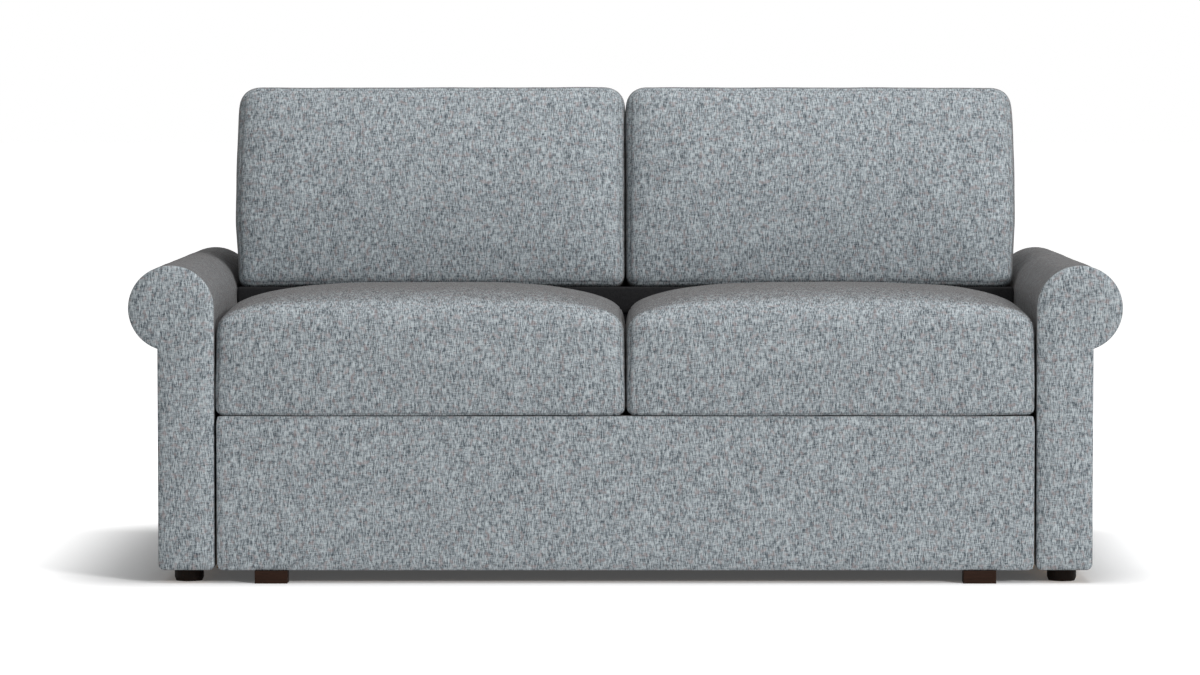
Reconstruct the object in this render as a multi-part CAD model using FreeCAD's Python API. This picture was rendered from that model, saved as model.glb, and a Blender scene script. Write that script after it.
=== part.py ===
# Two-seat rolled-arm sofa with a fold-out bed, in millimetres.
# X runs to the right as seen from the front, Y to the back, Z up.
# The origin lies on the floor under the middle of the sofa.
#
# The bed is a stack of three layers in the well between the arms: head section at the bottom, middle
# section upside down on it, foot section on top under the seat cushions. The front panel hangs on the foot
# section. The middle section turns half a turn about the main pivots. It carries the foot section, which
# stays level, and lifts the head section, which stays level on a parallelogram with the rear cranks.

import FreeCAD, Part
import math
import os

from FreeCAD import Vector

# Overall sizes
OVERALL_WIDTH = 1880.0
OVERALL_DEPTH = 1016.0
GROUND_GAP = 24.5
FIT = 0.3

# Arms
ROLL_RADIUS = 81.0
ROLL_HEIGHT = 521.0
ARM_BODY_WIDTH = 107.0
ARM_PADDING = 13.0
ARM_EDGE_ROUND = 12.0
ARM_END_ROUND = 9.0
FORMER_THICKNESS = 18.0
ARM_RAIL_HEIGHT = 40.0
ARM_PLY = 9.0
ROLL_LOG_WIDTH = 90.0
ROLL_LOG_HEIGHT = 40.0
SIDE_PLY_TOP_GAP = 20.0

# Bed layers
FRAME_HEIGHT = 18.0
FRAME_WIDTH = 22.0
FRAME_WALL = 1.5
MATTRESS_THICKNESS = 73.5
LAYER_GAP = 1.0
STEEL_GAP = 37.0
FRAME_OVERHANG = 4.0
SLAT_THICKNESS = 12.0
SLAT_WIDTH = 68.0
SLAT_PITCH = 98.0
MATTRESS_ROUND = 14.0
MATTRESS_CORNER = 28.0
HINGE_BEHIND_SHELF = 12.0
HEAD_CLEARANCE = 4.5
SECTION_END_GAP = 1.0

# Front panel
PANEL_BOARD = 18.0
PANEL_PADDING = 8.0
PANEL_SIDE_GAP = 4.0
PANEL_ROUND = 7.0
PANEL_CORNER = 9.6
CLEAT_DEPTH = 16.0
CLEAT_HEIGHT = 34.0
CLEAT_INSET = 10.0
BRACKET_PLATE = 4.0
BRACKET_WIDTH = 40.0
BRACKET_DROP = 95.0
BRACKET_INSET = 290.0

# Steel side mechanism, lanes counted outwards from the bed frames
LANE_PLATE = 5.0
LANE_GAP = 1.0
PIVOT_CLEARANCE = 6.0
PIN_RADIUS = 8.0
FOLD_PIN_RADIUS = 7.0
RUNNING_FIT = 0.05
CRANK_FIT = 0.3
BOSS_RADIUS = 14.0
MAIN_BOSS_RADIUS = 15.0
CRANK_BOSS_RADIUS = 16.0
CLIP_RADIUS = 12.0
BAR_HEIGHT = 28.0
BRACKET_SWEEP = 52.0
BRACKET_FOOT = 56.0
HINGE_EAR_LENGTH = 42.0
CRANK_INSET = 77.0
CRANK_STUD_RADIUS = 6.0
CRANK_WIDTH = 26.0
LEG_SETBACK = 45.0
LEG_WIDTH = 26.0
LEG_CAP_WALL = 3.0
LEG_CAP_SIDE = 6.0
LEG_CAP_FLOOR = 12.0
LEG_CAP_GRIP = 24.0
LEG_CAP_ROUND = 2.5
PIN_HEAD = 3.0
SIDE_PLATE = 6.0
SIDE_RAIL_WIDTH = 27.7
SIDE_RAIL_HEIGHT = 124.0
CROSS_RAIL_HEIGHT = 13.7
CROSS_RAIL_WIDTH = 44.0
SIDE_PLATE_HEIGHT = 50.0
SIDE_PLATE_TAIL = 42.0
SIDE_PLATE_SLOPE = 14.0
PLATE_BOLT_INSET = 60.0
BOLT_RADIUS = 4.0

# Feet
BUN_RADIUS = 27.8
BUN_FOOT_RADIUS = 25.0
BUN_TAPER_HEIGHT = 7.4
BUN_BOLT_FLOOR = 6.1
BUN_SETBACK = 68.0
BLOCK_WIDTH = 62.0
BLOCK_DEPTH = 42.0
BLOCK_INSET = 107.0
BLOCK_SETBACK = 1.0
BLOCK_ROUND = 1.5

# Seat cushions
CUSHION_GAP = 1.4
LOFT_DEGREE = 3
SWELL_LEAST = 0.5
SEAT_EDGE_ROUNDS = (12.0, 34.0, 26.0, 12.0)
SEAT_END_DRAW = 9.0
SEAT_END_DROP = 14.0
SEAT_FRONT_SWELL = 3.5
SEAT_REAR_SWELL = 2.5
SEAT_BACK_GAP = 10.0
SEAT_FRONT_SETBACK = 4.0
SEAT_SIDE_HEIGHT = 192.0
SEAT_CROWN = 43.0

# Back cushions and back
LEAN = 12.0
BACK_DEPTH = 481.0
BACK_CUSHION_LIFT = 225.0
BACK_CUSHION_HEIGHT = 412.0
BACK_CUSHION_THICKNESS = 222.0
BACK_CROWN = 26.0
BACK_CORNER = 36.0
BACK_END_DRAW = 16.0
BACK_EDGE_ROUNDS = (20.0, 24.0, 24.0, 20.0)
BACK_EDGE_SWELL = 1.5
BACK_FRONT_INSET = 8.0
BACK_RISE = 343.5
BACK_TOP_SETBACK = 38.0
BACK_PADDING = 10.0
BACK_POST_DEPTH = 23.7
BACK_RAIL_HEIGHT = 36.0
SHELF_THICKNESS = 18.0
SHELF_SETBACK = 13.0
SHELF_DROP = 60.0
WEBBING_THICKNESS = 1.6
WEBBING_WIDTH = 50.0
WEBBING_COUNT = 5
CLOTH_THICKNESS = 1.2

# Places that follow from the sizes
HALF_WIDTH = OVERALL_WIDTH / 2
FRONT_Y = -OVERALL_DEPTH / 2
REAR_Y = OVERALL_DEPTH / 2
ROLL_X = HALF_WIDTH - ROLL_RADIUS
ARM_INNER_X = ROLL_X - ROLL_RADIUS
ARM_OUTER_X = ARM_INNER_X + ARM_BODY_WIDTH
ARM_TOP = ROLL_HEIGHT + ROLL_RADIUS
RAIL_OUTER_X = ARM_INNER_X - FIT
RAIL_INNER_X = RAIL_OUTER_X - SIDE_RAIL_WIDTH
PLATE_INNER_X = RAIL_INNER_X - SIDE_PLATE
LANE_C = PLATE_INNER_X - STEEL_GAP - LANE_PLATE
LANE_B = LANE_C - LANE_GAP - LANE_PLATE
LANE_A = LANE_B - LANE_GAP - LANE_PLATE
FRAME_X = LANE_A
BED_WIDTH = 2 * (FRAME_X - FRAME_OVERHANG)
BRACKET_X = FRAME_X - BRACKET_INSET
BLOCK_X = ARM_INNER_X - BLOCK_INSET

SIDE_RAIL_BASE = GROUND_GAP + CLOTH_THICKNESS + FIT
STACK_BASE = SIDE_RAIL_BASE + CROSS_RAIL_HEIGHT + FIT
LAYER = FRAME_HEIGHT + MATTRESS_THICKNESS + LAYER_GAP
FOLD_Z = STACK_BASE + LAYER
PIVOT_Z = FOLD_Z + LAYER
SEAT_DECK = PIVOT_Z + LAYER
CRANK_Z = STACK_BASE + FRAME_HEIGHT / 2 + LAYER
CUSHION_Z = SEAT_DECK + BACK_CUSHION_LIFT
SHELF_TOP = CUSHION_Z - SHELF_DROP
BACK_TOP = CUSHION_Z + BACK_RISE

PANEL_REAR_Y = FRONT_Y + PANEL_BOARD + PANEL_PADDING
FRAME_FRONT_Y = PANEL_REAR_Y + BRACKET_PLATE
PIVOT_Y = PANEL_REAR_Y + BOSS_RADIUS + PIVOT_CLEARANCE
CUSHION_Y = REAR_Y - BACK_DEPTH
SHELF_Y = CUSHION_Y + SHELF_SETBACK
HINGE_Y = SHELF_Y + HINGE_BEHIND_SHELF
POST_FRONT_Y = REAR_Y - BACK_PADDING - FIT - BACK_POST_DEPTH
SECTION_FRONT_Y = PIVOT_Y + SECTION_END_GAP
HEAD_REAR_Y = POST_FRONT_Y - LAYER - HEAD_CLEARANCE
CRANK_Y = HEAD_REAR_Y - CRANK_INSET
LEG_Y = HINGE_Y - LEG_SETBACK
SEAT_FRONT_Y = FRONT_Y + SEAT_FRONT_SETBACK
SEAT_REAR_Y = CUSHION_Y - SEAT_BACK_GAP
TILT = math.radians(LEAN)
CUSHION_REAR_Y = CUSHION_Y + BACK_CUSHION_THICKNESS * math.cos(TILT)
CUSHION_REAR_Z = CUSHION_Z - BACK_CUSHION_THICKNESS * math.sin(TILT)

made = {}


# Shape helpers

def box(x0, x1, y0, y1, z0, z1):
    """A block between two corners."""
    return Part.makeBox(x1 - x0, y1 - y0, z1 - z0, Vector(x0, y0, z0))


def rod_x(radius, x0, x1, y, z):
    """A round bar along X."""
    return Part.makeCylinder(radius, x1 - x0, Vector(x0, y, z), Vector(1, 0, 0))


def rod_y(radius, x, y0, y1, z):
    """A round bar along Y."""
    return Part.makeCylinder(radius, y1 - y0, Vector(x, y0, z), Vector(0, 1, 0))


def rod_z(radius, x, y, z0, z1):
    """A round bar along Z."""
    return Part.makeCylinder(radius, z1 - z0, Vector(x, y, z0), Vector(0, 0, 1))


def prism_x(outline, x0, x1):
    """A board with an outline of (y, z) corners, standing from x0 to x1."""
    points = [Vector(x0, y, z) for y, z in outline]
    face = Part.Face(Part.makePolygon(points + points[:1]))
    return face.extrude(Vector(x1 - x0, 0, 0))


def mirrored(shape):
    """The same shape on the other side of the sofa."""
    return shape.mirror(Vector(0, 0, 0), Vector(1, 0, 0))


def both(shape):
    """A shape and its mirror image."""
    return [shape, mirrored(shape)]


def rounded(shape, radius, chosen):
    """Rounds the edges that chosen(edge) picks."""
    return shape.makeFillet(radius, [edge for edge in shape.Edges if chosen(edge)])


def along(edge, axis):
    """True for a straight edge along an axis given as 0, 1 or 2."""
    first, last = edge.Vertexes[0].Point, edge.Vertexes[-1].Point
    step = last - first
    return [abs(step.x), abs(step.y), abs(step.z)][axis] > 0.999 * max(edge.Length, 1e-6)


def add(name, *solids):
    """Keeps one named piece, or a group of like pieces, for export."""
    made[name] = Part.makeCompound(list(solids)) if len(solids) > 1 else solids[0]


def tube(x0, x1, y0, y1, z0, z1, axis):
    """A rectangular steel tube between two corners, open at both ends along its axis."""
    low, high = [x0, y0, z0], [x1, y1, z1]
    for i in range(3):
        if i != axis:
            low[i] += FRAME_WALL
            high[i] -= FRAME_WALL
    bore = box(low[0], high[0], low[1], high[1], low[2], high[2])
    return box(x0, x1, y0, y1, z0, z1).cut(bore)


# Arms: an upholstered shell with a rolled top over a wooden frame

def arm_solid(inset, y0, y1, corner=0.0, end_round=0.0):
    """The arm's rolled outline from y0 to y1, drawn in all round by inset but flat at the bottom."""
    inner, outer = ARM_INNER_X + inset, ARM_OUTER_X - inset
    roll = rod_y(ROLL_RADIUS - inset, ROLL_X, y0, y1, ROLL_HEIGHT)
    body = box(inner, outer, y0, y1, GROUND_GAP, ROLL_HEIGHT)
    if corner:
        body = rounded(body, corner, lambda edge: along(edge, 1) and edge.BoundBox.ZMax < GROUND_GAP + 1)
    if end_round:
        roll = rounded(roll, end_round, lambda edge: edge.BoundBox.YLength < 0.01)
        body = rounded(body, end_round, lambda edge: edge.BoundBox.YLength < 0.01
                       and edge.BoundBox.ZMin < ROLL_HEIGHT - 1)
    return roll.fuse(body).removeSplitter()


def arm_cover():
    """Padding and cover: one shell, open underneath."""
    outer = arm_solid(0, FRONT_Y, REAR_Y, ARM_EDGE_ROUND, ARM_END_ROUND)
    return outer.cut(arm_solid(ARM_PADDING, FRONT_Y + ARM_PADDING, REAR_Y - ARM_PADDING))


def former_spans():
    """The three formers' Y ranges: front, middle and rear."""
    front = FRONT_Y + ARM_PADDING + FIT
    half = FORMER_THICKNESS / 2
    return [(front, front + FORMER_THICKNESS), (-half, half), (-front - FORMER_THICKNESS, -front)]


def arm_formers():
    """Three plywood boards with the arm's own outline."""
    return [arm_solid(ARM_PADDING + FIT, y0, y1) for y0, y1 in former_spans()]


def arm_rails():
    """Bottom rails, roll logs and side panels between the formers."""
    inner = ARM_INNER_X + ARM_PADDING + FIT
    outer = ARM_OUTER_X - ARM_PADDING - FIT
    log_x0, log_x1 = ROLL_X - ROLL_LOG_WIDTH / 2, ROLL_X + ROLL_LOG_WIDTH / 2
    log_z0, log_z1 = ROLL_HEIGHT - ROLL_LOG_HEIGHT / 2, ROLL_HEIGHT + ROLL_LOG_HEIGHT / 2
    rail_top = GROUND_GAP + ARM_RAIL_HEIGHT
    ply_top = log_z0 - SIDE_PLY_TOP_GAP
    outer_top = ROLL_HEIGHT - ROLL_RADIUS - SIDE_PLY_TOP_GAP
    spans = former_spans()
    solids = []
    for (_, y0), (y1, _) in zip(spans, spans[1:]):
        bottom = box(inner, outer, y0, y1, GROUND_GAP, rail_top)
        for foot_y in foot_places():
            if y0 < foot_y < y1:
                bottom = bottom.cut(rod_z(BOLT_RADIUS, bun_x(), foot_y, 0, rail_top - BOLT_RADIUS))
        solids.append(bottom)
        solids.append(box(log_x0, log_x1, y0, y1, log_z0, log_z1))
        solids.append(box(inner, inner + ARM_PLY, y0, y1, rail_top, ply_top))
        solids.append(box(outer - ARM_PLY, outer, y0, y1, rail_top, outer_top))
    return solids


# Bun feet under the arms, each on a hanger bolt

def bun_x():
    """Half the distance between the left and right bun feet."""
    return (ARM_INNER_X + ARM_OUTER_X) / 2


def foot_places():
    """The Y of the front and rear bun feet."""
    return [FRONT_Y + BUN_SETBACK, REAR_Y - BUN_SETBACK]


def bun_foot(x, y):
    """A low turned foot, narrower at the floor, bored for its bolt."""
    lower = Part.makeCone(BUN_FOOT_RADIUS, BUN_RADIUS, BUN_TAPER_HEIGHT, Vector(x, y, 0))
    upper = rod_z(BUN_RADIUS, x, y, BUN_TAPER_HEIGHT, GROUND_GAP)
    foot = lower.fuse(upper).removeSplitter()
    return foot.cut(rod_z(BOLT_RADIUS, x, y, BUN_BOLT_FLOOR, GROUND_GAP))


def build_arms():
    cover = arm_cover()
    formers = arm_formers()
    rails = arm_rails()
    add("arm_cover_right", cover)
    add("arm_cover_left", mirrored(cover))
    add("arm_formers_right", *formers)
    add("arm_formers_left", *[mirrored(s) for s in formers])
    add("arm_rails_right", *rails)
    add("arm_rails_left", *[mirrored(s) for s in rails])
    names = {(-1, 0): "front_left", (1, 0): "front_right", (-1, 1): "rear_left", (1, 1): "rear_right"}
    bolts = []
    for (side, row), name in names.items():
        x, y = side * bun_x(), foot_places()[row]
        add("bun_foot_" + name, bun_foot(x, y))
        bolts.append(rod_z(BOLT_RADIUS, x, y, BUN_BOLT_FLOOR, GROUND_GAP + ARM_RAIL_HEIGHT - BOLT_RADIUS))
    add("foot_bolts", *bolts)


# Base: rails that tie the arms together, and the dust cloth under them

def build_base():
    rail_top = SIDE_RAIL_BASE + SIDE_RAIL_HEIGHT
    rail = box(RAIL_INNER_X, RAIL_OUTER_X, SECTION_FRONT_Y, POST_FRONT_Y - FIT, SIDE_RAIL_BASE, rail_top)
    for y, z in plate_bolt_places():
        rail = rail.cut(rod_x(BOLT_RADIUS, RAIL_INNER_X, RAIL_OUTER_X - BOLT_RADIUS, y, z))
    add("side_rail_right", rail)
    add("side_rail_left", mirrored(rail))
    front, rear = SECTION_FRONT_Y + CROSS_RAIL_WIDTH / 2, HEAD_REAR_Y - CROSS_RAIL_WIDTH * 3 / 4
    cross = [
        box(-RAIL_INNER_X, RAIL_INNER_X, y, y + CROSS_RAIL_WIDTH, SIDE_RAIL_BASE, STACK_BASE - FIT)
        for y in (front, (front + rear) / 2, rear)
    ]
    add("cross_rails", *cross)
    cloth_top = SIDE_RAIL_BASE - FIT
    cloth = box(-RAIL_OUTER_X, RAIL_OUTER_X, SECTION_FRONT_Y, REAR_Y - BACK_PADDING - FIT,
                cloth_top - CLOTH_THICKNESS, cloth_top)
    add("dust_cover", cloth)


# Back: plywood formers on the rear posts, rails, webbing, shelf and one outer cover

def front_line(z, step=0.0):
    """The Y of the leaning plane behind the back cushions at height z, moved back by step."""
    return CUSHION_REAR_Y + FIT + (z - CUSHION_REAR_Z) * math.tan(TILT) + step


def back_outline(inset, bottom, front_bottom):
    """The back's side outline above the shelf, drawn in by inset."""
    top = BACK_TOP - inset
    lean = inset / math.cos(TILT)
    return [
        (REAR_Y - inset, bottom),
        (REAR_Y - inset, ARM_TOP),
        (REAR_Y - inset - BACK_TOP_SETBACK, top),
        (front_line(top, lean), top),
        (front_line(front_bottom, lean), front_bottom),
    ]


def former_ranges():
    """The X ranges of the back's formers, left to right."""
    edge = RAIL_OUTER_X - BACK_PADDING - FIT
    half = FORMER_THICKNESS / 2
    return [(-edge, -edge + FORMER_THICKNESS), (-half, half), (edge - FORMER_THICKNESS, edge)]


def span_between(outline):
    """Boards with one outline in each bay between the back's formers."""
    ranges = former_ranges()
    return [prism_x(outline, x0, x1) for (_, x0), (x1, _) in zip(ranges, ranges[1:])]


def leaning(z0, z1, near, far):
    """An outline that follows the leaning plane, between two depths behind it."""
    low = [(front_line(z0, near), z0), (front_line(z0, far), z0)]
    high = [(front_line(z1, far), z1), (front_line(z1, near), z1)]
    return low + high


def build_back():
    hidden = BACK_PADDING + FIT
    outer = prism_x(back_outline(0, SHELF_TOP, SHELF_TOP), -RAIL_OUTER_X, RAIL_OUTER_X)

    def upper_edge(edge):
        middle = edge.BoundBox.Center
        return middle.z > BACK_TOP - 1 and (along(edge, 0) or abs(middle.x) > RAIL_OUTER_X - 1)

    outer = rounded(outer, BACK_PADDING, upper_edge)
    inner_x = RAIL_OUTER_X - BACK_PADDING
    cavity = prism_x(back_outline(BACK_PADDING, SHELF_TOP - 1, SHELF_TOP - 1), -inner_x, inner_x)
    skin = box(-RAIL_OUTER_X, RAIL_OUTER_X, REAR_Y - BACK_PADDING, REAR_Y, GROUND_GAP, SHELF_TOP)
    add("back_cover", outer.cut(cavity).fuse(skin).removeSplitter())

    post = back_outline(hidden, STACK_BASE, SHELF_TOP + FIT)
    post += [(POST_FRONT_Y, SHELF_TOP + FIT), (POST_FRONT_Y, STACK_BASE)]
    add("back_formers", *[prism_x(post, x0, x1) for x0, x1 in former_ranges()])

    strap_far = hidden / math.cos(TILT) + WEBBING_THICKNESS
    rail_near = strap_far + FIT
    top_z = BACK_TOP - hidden
    top_depth = REAR_Y - BACK_TOP_SETBACK - hidden - front_line(top_z, rail_near)
    rail_far = rail_near + top_depth / 3
    rails = []
    rails += span_between(leaning(top_z - BACK_RAIL_HEIGHT, top_z, rail_near, rail_far))
    rails += span_between(leaning(SHELF_TOP + FIT, SHELF_TOP + BACK_RAIL_HEIGHT, rail_near, rail_far))
    rear = POST_FRONT_Y + BACK_POST_DEPTH
    for z in (STACK_BASE, (STACK_BASE + SHELF_TOP) / 2, SHELF_TOP - SHELF_THICKNESS - BACK_RAIL_HEIGHT):
        z1 = z + BACK_RAIL_HEIGHT
        rails += span_between([(POST_FRONT_Y, z), (rear, z), (rear, z1), (POST_FRONT_Y, z1)])
    add("back_rails", *rails)

    strap_low, strap_high = SHELF_TOP + BACK_RAIL_HEIGHT / 2, top_z - BACK_RAIL_HEIGHT / 2
    strap = leaning(strap_low, strap_high, strap_far - WEBBING_THICKNESS, strap_far)
    straps = []
    for x0, x1 in [(a[1], b[0]) for a, b in zip(former_ranges(), former_ranges()[1:])]:
        pitch = (x1 - x0) / WEBBING_COUNT
        for i in range(WEBBING_COUNT):
            middle = x0 + (i + 0.5) * pitch
            straps.append(prism_x(strap, middle - WEBBING_WIDTH / 2, middle + WEBBING_WIDTH / 2))
    add("back_webbing", *straps)

    shelf_base = SHELF_TOP - SHELF_THICKNESS
    shelf = box(-RAIL_OUTER_X, RAIL_OUTER_X, SHELF_Y, POST_FRONT_Y - FIT, shelf_base, SHELF_TOP)
    add("back_shelf", shelf)
    near_z = CUSHION_Z - FIT - (SHELF_Y - CUSHION_Y) * math.tan(TILT)
    far_z = CUSHION_REAR_Z - FIT
    pad = [
        (SHELF_Y, SHELF_TOP), (front_line(SHELF_TOP) - FIT, SHELF_TOP), (front_line(far_z) - FIT, far_z),
        (SHELF_Y, near_z),
    ]
    add("shelf_pad", prism_x(pad, -RAIL_OUTER_X, RAIL_OUTER_X))


# Bed sections: a tube frame, slats and a slab of mattress each

def frame_tubes(y0, y1, z0):
    """Two side tubes and two cross tubes between them."""
    z1 = z0 + FRAME_HEIGHT
    inner = FRAME_X - FRAME_WIDTH
    side = tube(inner, FRAME_X, y0, y1, z0, z1, 1)
    return both(side) + [
        tube(-inner, inner, y0, y0 + FRAME_WIDTH, z0, z1, 0),
        tube(-inner, inner, y1 - FRAME_WIDTH, y1, z0, z1, 0),
    ]


def slats(y0, y1, z0):
    """Evenly spaced plywood slats between the cross tubes."""
    inner = FRAME_X - FRAME_WIDTH
    start, end = y0 + FRAME_WIDTH, y1 - FRAME_WIDTH
    count = max(1, int((end - start) / SLAT_PITCH))
    pitch = (end - start) / count
    middles = [start + (i + 0.5) * pitch for i in range(count)]
    return [
        box(-inner, inner, y - SLAT_WIDTH / 2, y + SLAT_WIDTH / 2, z0, z0 + SLAT_THICKNESS)
        for y in middles
    ]


def slab(y0, y1, z0):
    """One section of the foam mattress, with rounded corners and edges."""
    half = BED_WIDTH / 2
    block = box(-half, half, y0, y1, z0, z0 + MATTRESS_THICKNESS)
    block = rounded(block, MATTRESS_CORNER, lambda edge: along(edge, 2))
    return rounded(block, MATTRESS_ROUND, lambda edge: edge.BoundBox.ZLength < 0.01)


def slot_plate(y0, z0, y1, z1, radius, x0, x1):
    """A flat steel link with round ends between two points."""
    step = Vector(0, y1 - y0, z1 - z0)
    side = Vector(0, -step.z, step.y) * (radius / step.Length)
    corners = [Vector(x0, y0, z0) + side, Vector(x0, y1, z1) + side,
               Vector(x0, y1, z1) - side, Vector(x0, y0, z0) - side]
    bar = Part.Face(Part.makePolygon(corners + corners[:1])).extrude(Vector(x1 - x0, 0, 0))
    return bar.fuse([rod_x(radius, x0, x1, y0, z0), rod_x(radius, x0, x1, y1, z1)]).removeSplitter()


def plate_bolt_places():
    """Where the side plates are bolted to the side rails."""
    z = SIDE_RAIL_BASE + SIDE_RAIL_HEIGHT / 2
    first, last = PIVOT_Y + PLATE_BOLT_INSET, CRANK_Y - PLATE_BOLT_INSET
    return [(first + (last - first) * i / 3, z) for i in range(4)]


def build_head():
    y0, y1 = SECTION_FRONT_Y, HEAD_REAR_Y
    hole = rod_x(CRANK_STUD_RADIUS + CRANK_FIT, -FRAME_X - 1, FRAME_X + 1, CRANK_Y, CRANK_Z - LAYER)
    add("head_frame", *[piece.cut(hole) for piece in frame_tubes(y0, y1, STACK_BASE)])
    add("head_slats", *slats(y0, y1, STACK_BASE + FRAME_HEIGHT - SLAT_THICKNESS))
    add("head_mattress", slab(y0, y1, STACK_BASE + FRAME_HEIGHT + LAYER_GAP / 4))
    heel = PIVOT_Y + BRACKET_SWEEP
    heel_z = STACK_BASE + BOSS_RADIUS
    arm = slot_plate(PIVOT_Y, FOLD_Z, heel, heel_z, BOSS_RADIUS, LANE_A, LANE_A + LANE_PLATE)
    foot = box(LANE_A, LANE_A + LANE_PLATE, heel, heel + BRACKET_FOOT, STACK_BASE, STACK_BASE + FRAME_HEIGHT)
    arm = arm.fuse(foot).removeSplitter()
    arm = arm.cut(rod_x(FOLD_PIN_RADIUS + RUNNING_FIT, LANE_A - 1, LANE_B, PIVOT_Y, FOLD_Z))
    add("head_brackets", *both(arm))


def build_middle():
    y0, y1 = SECTION_FRONT_Y, HINGE_Y - SECTION_END_GAP
    top = PIVOT_Z - LAYER_GAP / 2
    base = top - FRAME_HEIGHT
    add("middle_frame", *frame_tubes(y0, y1, base))
    add("middle_slats", *slats(y0, y1, base))
    add("middle_mattress", slab(y0, y1, base - LAYER_GAP / 4 - MATTRESS_THICKNESS))
    bar = slot_plate(PIVOT_Y, PIVOT_Z, HINGE_Y, PIVOT_Z, BAR_HEIGHT / 2, LANE_B, LANE_B + LANE_PLATE)
    ear = slot_plate(PIVOT_Y, PIVOT_Z, PIVOT_Y, FOLD_Z, BOSS_RADIUS, LANE_B, LANE_B + LANE_PLATE)
    pads = [
        box(LANE_A, LANE_B, y - BOSS_RADIUS, y + BOSS_RADIUS, base, top)
        for y in (PIVOT_Y + (HINGE_Y - PIVOT_Y) / 3, PIVOT_Y + (HINGE_Y - PIVOT_Y) * 2 / 3)
    ]
    bracket = bar.fuse([ear] + pads).removeSplitter()
    for radius, y, z in (
        (PIN_RADIUS + RUNNING_FIT, PIVOT_Y, PIVOT_Z),
        (FOLD_PIN_RADIUS, PIVOT_Y, FOLD_Z),
        (FOLD_PIN_RADIUS + RUNNING_FIT, HINGE_Y, PIVOT_Z),
        (FOLD_PIN_RADIUS, LEG_Y, PIVOT_Z),
    ):
        bracket = bracket.cut(rod_x(radius, LANE_A - 1, LANE_C, y, z))
    add("middle_bracket_right", bracket)
    add("middle_bracket_left", mirrored(bracket))
    add("fold_pins", *both(rod_x(FOLD_PIN_RADIUS, LANE_A, LANE_B + LANE_PLATE, PIVOT_Y, FOLD_Z)))
    leg_pin = rod_x(FOLD_PIN_RADIUS, LANE_B, LANE_C + LANE_PLATE + FIT, LEG_Y, PIVOT_Z)
    head_x = LANE_C + LANE_PLATE + FIT
    head = rod_x(CLIP_RADIUS, head_x, head_x + PIN_HEAD, LEG_Y, PIVOT_Z)
    add("leg_pins", *both(leg_pin.fuse(head)))


def build_legs():
    """Two folding legs under the joint between the middle and foot sections."""
    x0, x1 = LANE_C + FIT / 2, LANE_C + FIT / 2 + LANE_PLATE
    reach = PIVOT_Z - LEG_CAP_FLOOR
    leg = slot_plate(LEG_Y, PIVOT_Z, LEG_Y - reach, PIVOT_Z, LEG_WIDTH / 2, x0, x1)
    tip = LEG_Y - reach
    leg = leg.cut(box(x0 - 1, x1 + 1, tip - LEG_WIDTH, tip, PIVOT_Z - LEG_WIDTH, PIVOT_Z + LEG_WIDTH))
    leg = leg.cut(rod_x(FOLD_PIN_RADIUS + RUNNING_FIT, x0 - 1, x1 + 1, LEG_Y, PIVOT_Z))
    half = LEG_WIDTH / 2 + LEG_CAP_WALL
    cap_x0, cap_x1 = LANE_B + LANE_PLATE + FIT, x1 + LEG_CAP_SIDE
    cap = box(cap_x0, cap_x1, LEG_Y - PIVOT_Z, tip + LEG_CAP_GRIP, PIVOT_Z - half, PIVOT_Z + half)
    cap = rounded(cap, LEG_CAP_ROUND, lambda edge: along(edge, 1))
    cap = cap.cut(box(x0, x1, tip, LEG_Y, PIVOT_Z - LEG_WIDTH / 2, PIVOT_Z + LEG_WIDTH / 2))
    add("leg_right", leg)
    add("leg_left", mirrored(leg))
    add("leg_cap_right", cap)
    add("leg_cap_left", mirrored(cap))


def build_foot():
    y0, y1 = FRAME_FRONT_Y, HINGE_Y - SECTION_END_GAP
    base = PIVOT_Z + LAYER_GAP / 2
    top = base + FRAME_HEIGHT
    add("foot_frame", *frame_tubes(y0, y1, base))
    add("foot_slats", *slats(y0, y1, top - SLAT_THICKNESS))
    add("foot_mattress", slab(y0, y1, top + LAYER_GAP / 4))
    ear = slot_plate(HINGE_Y - HINGE_EAR_LENGTH, PIVOT_Z + LAYER_GAP, HINGE_Y, PIVOT_Z, CLIP_RADIUS,
                     LANE_A, LANE_A + LANE_PLATE)
    ear = ear.cut(rod_x(FOLD_PIN_RADIUS, LANE_A - 1, LANE_B, HINGE_Y, PIVOT_Z))
    add("foot_hinge_ears", *both(ear))
    add("hinge_pins", *both(rod_x(FOLD_PIN_RADIUS, LANE_A, LANE_B + LANE_PLATE, HINGE_Y, PIVOT_Z)))
    build_front_panel(base, top)


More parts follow.
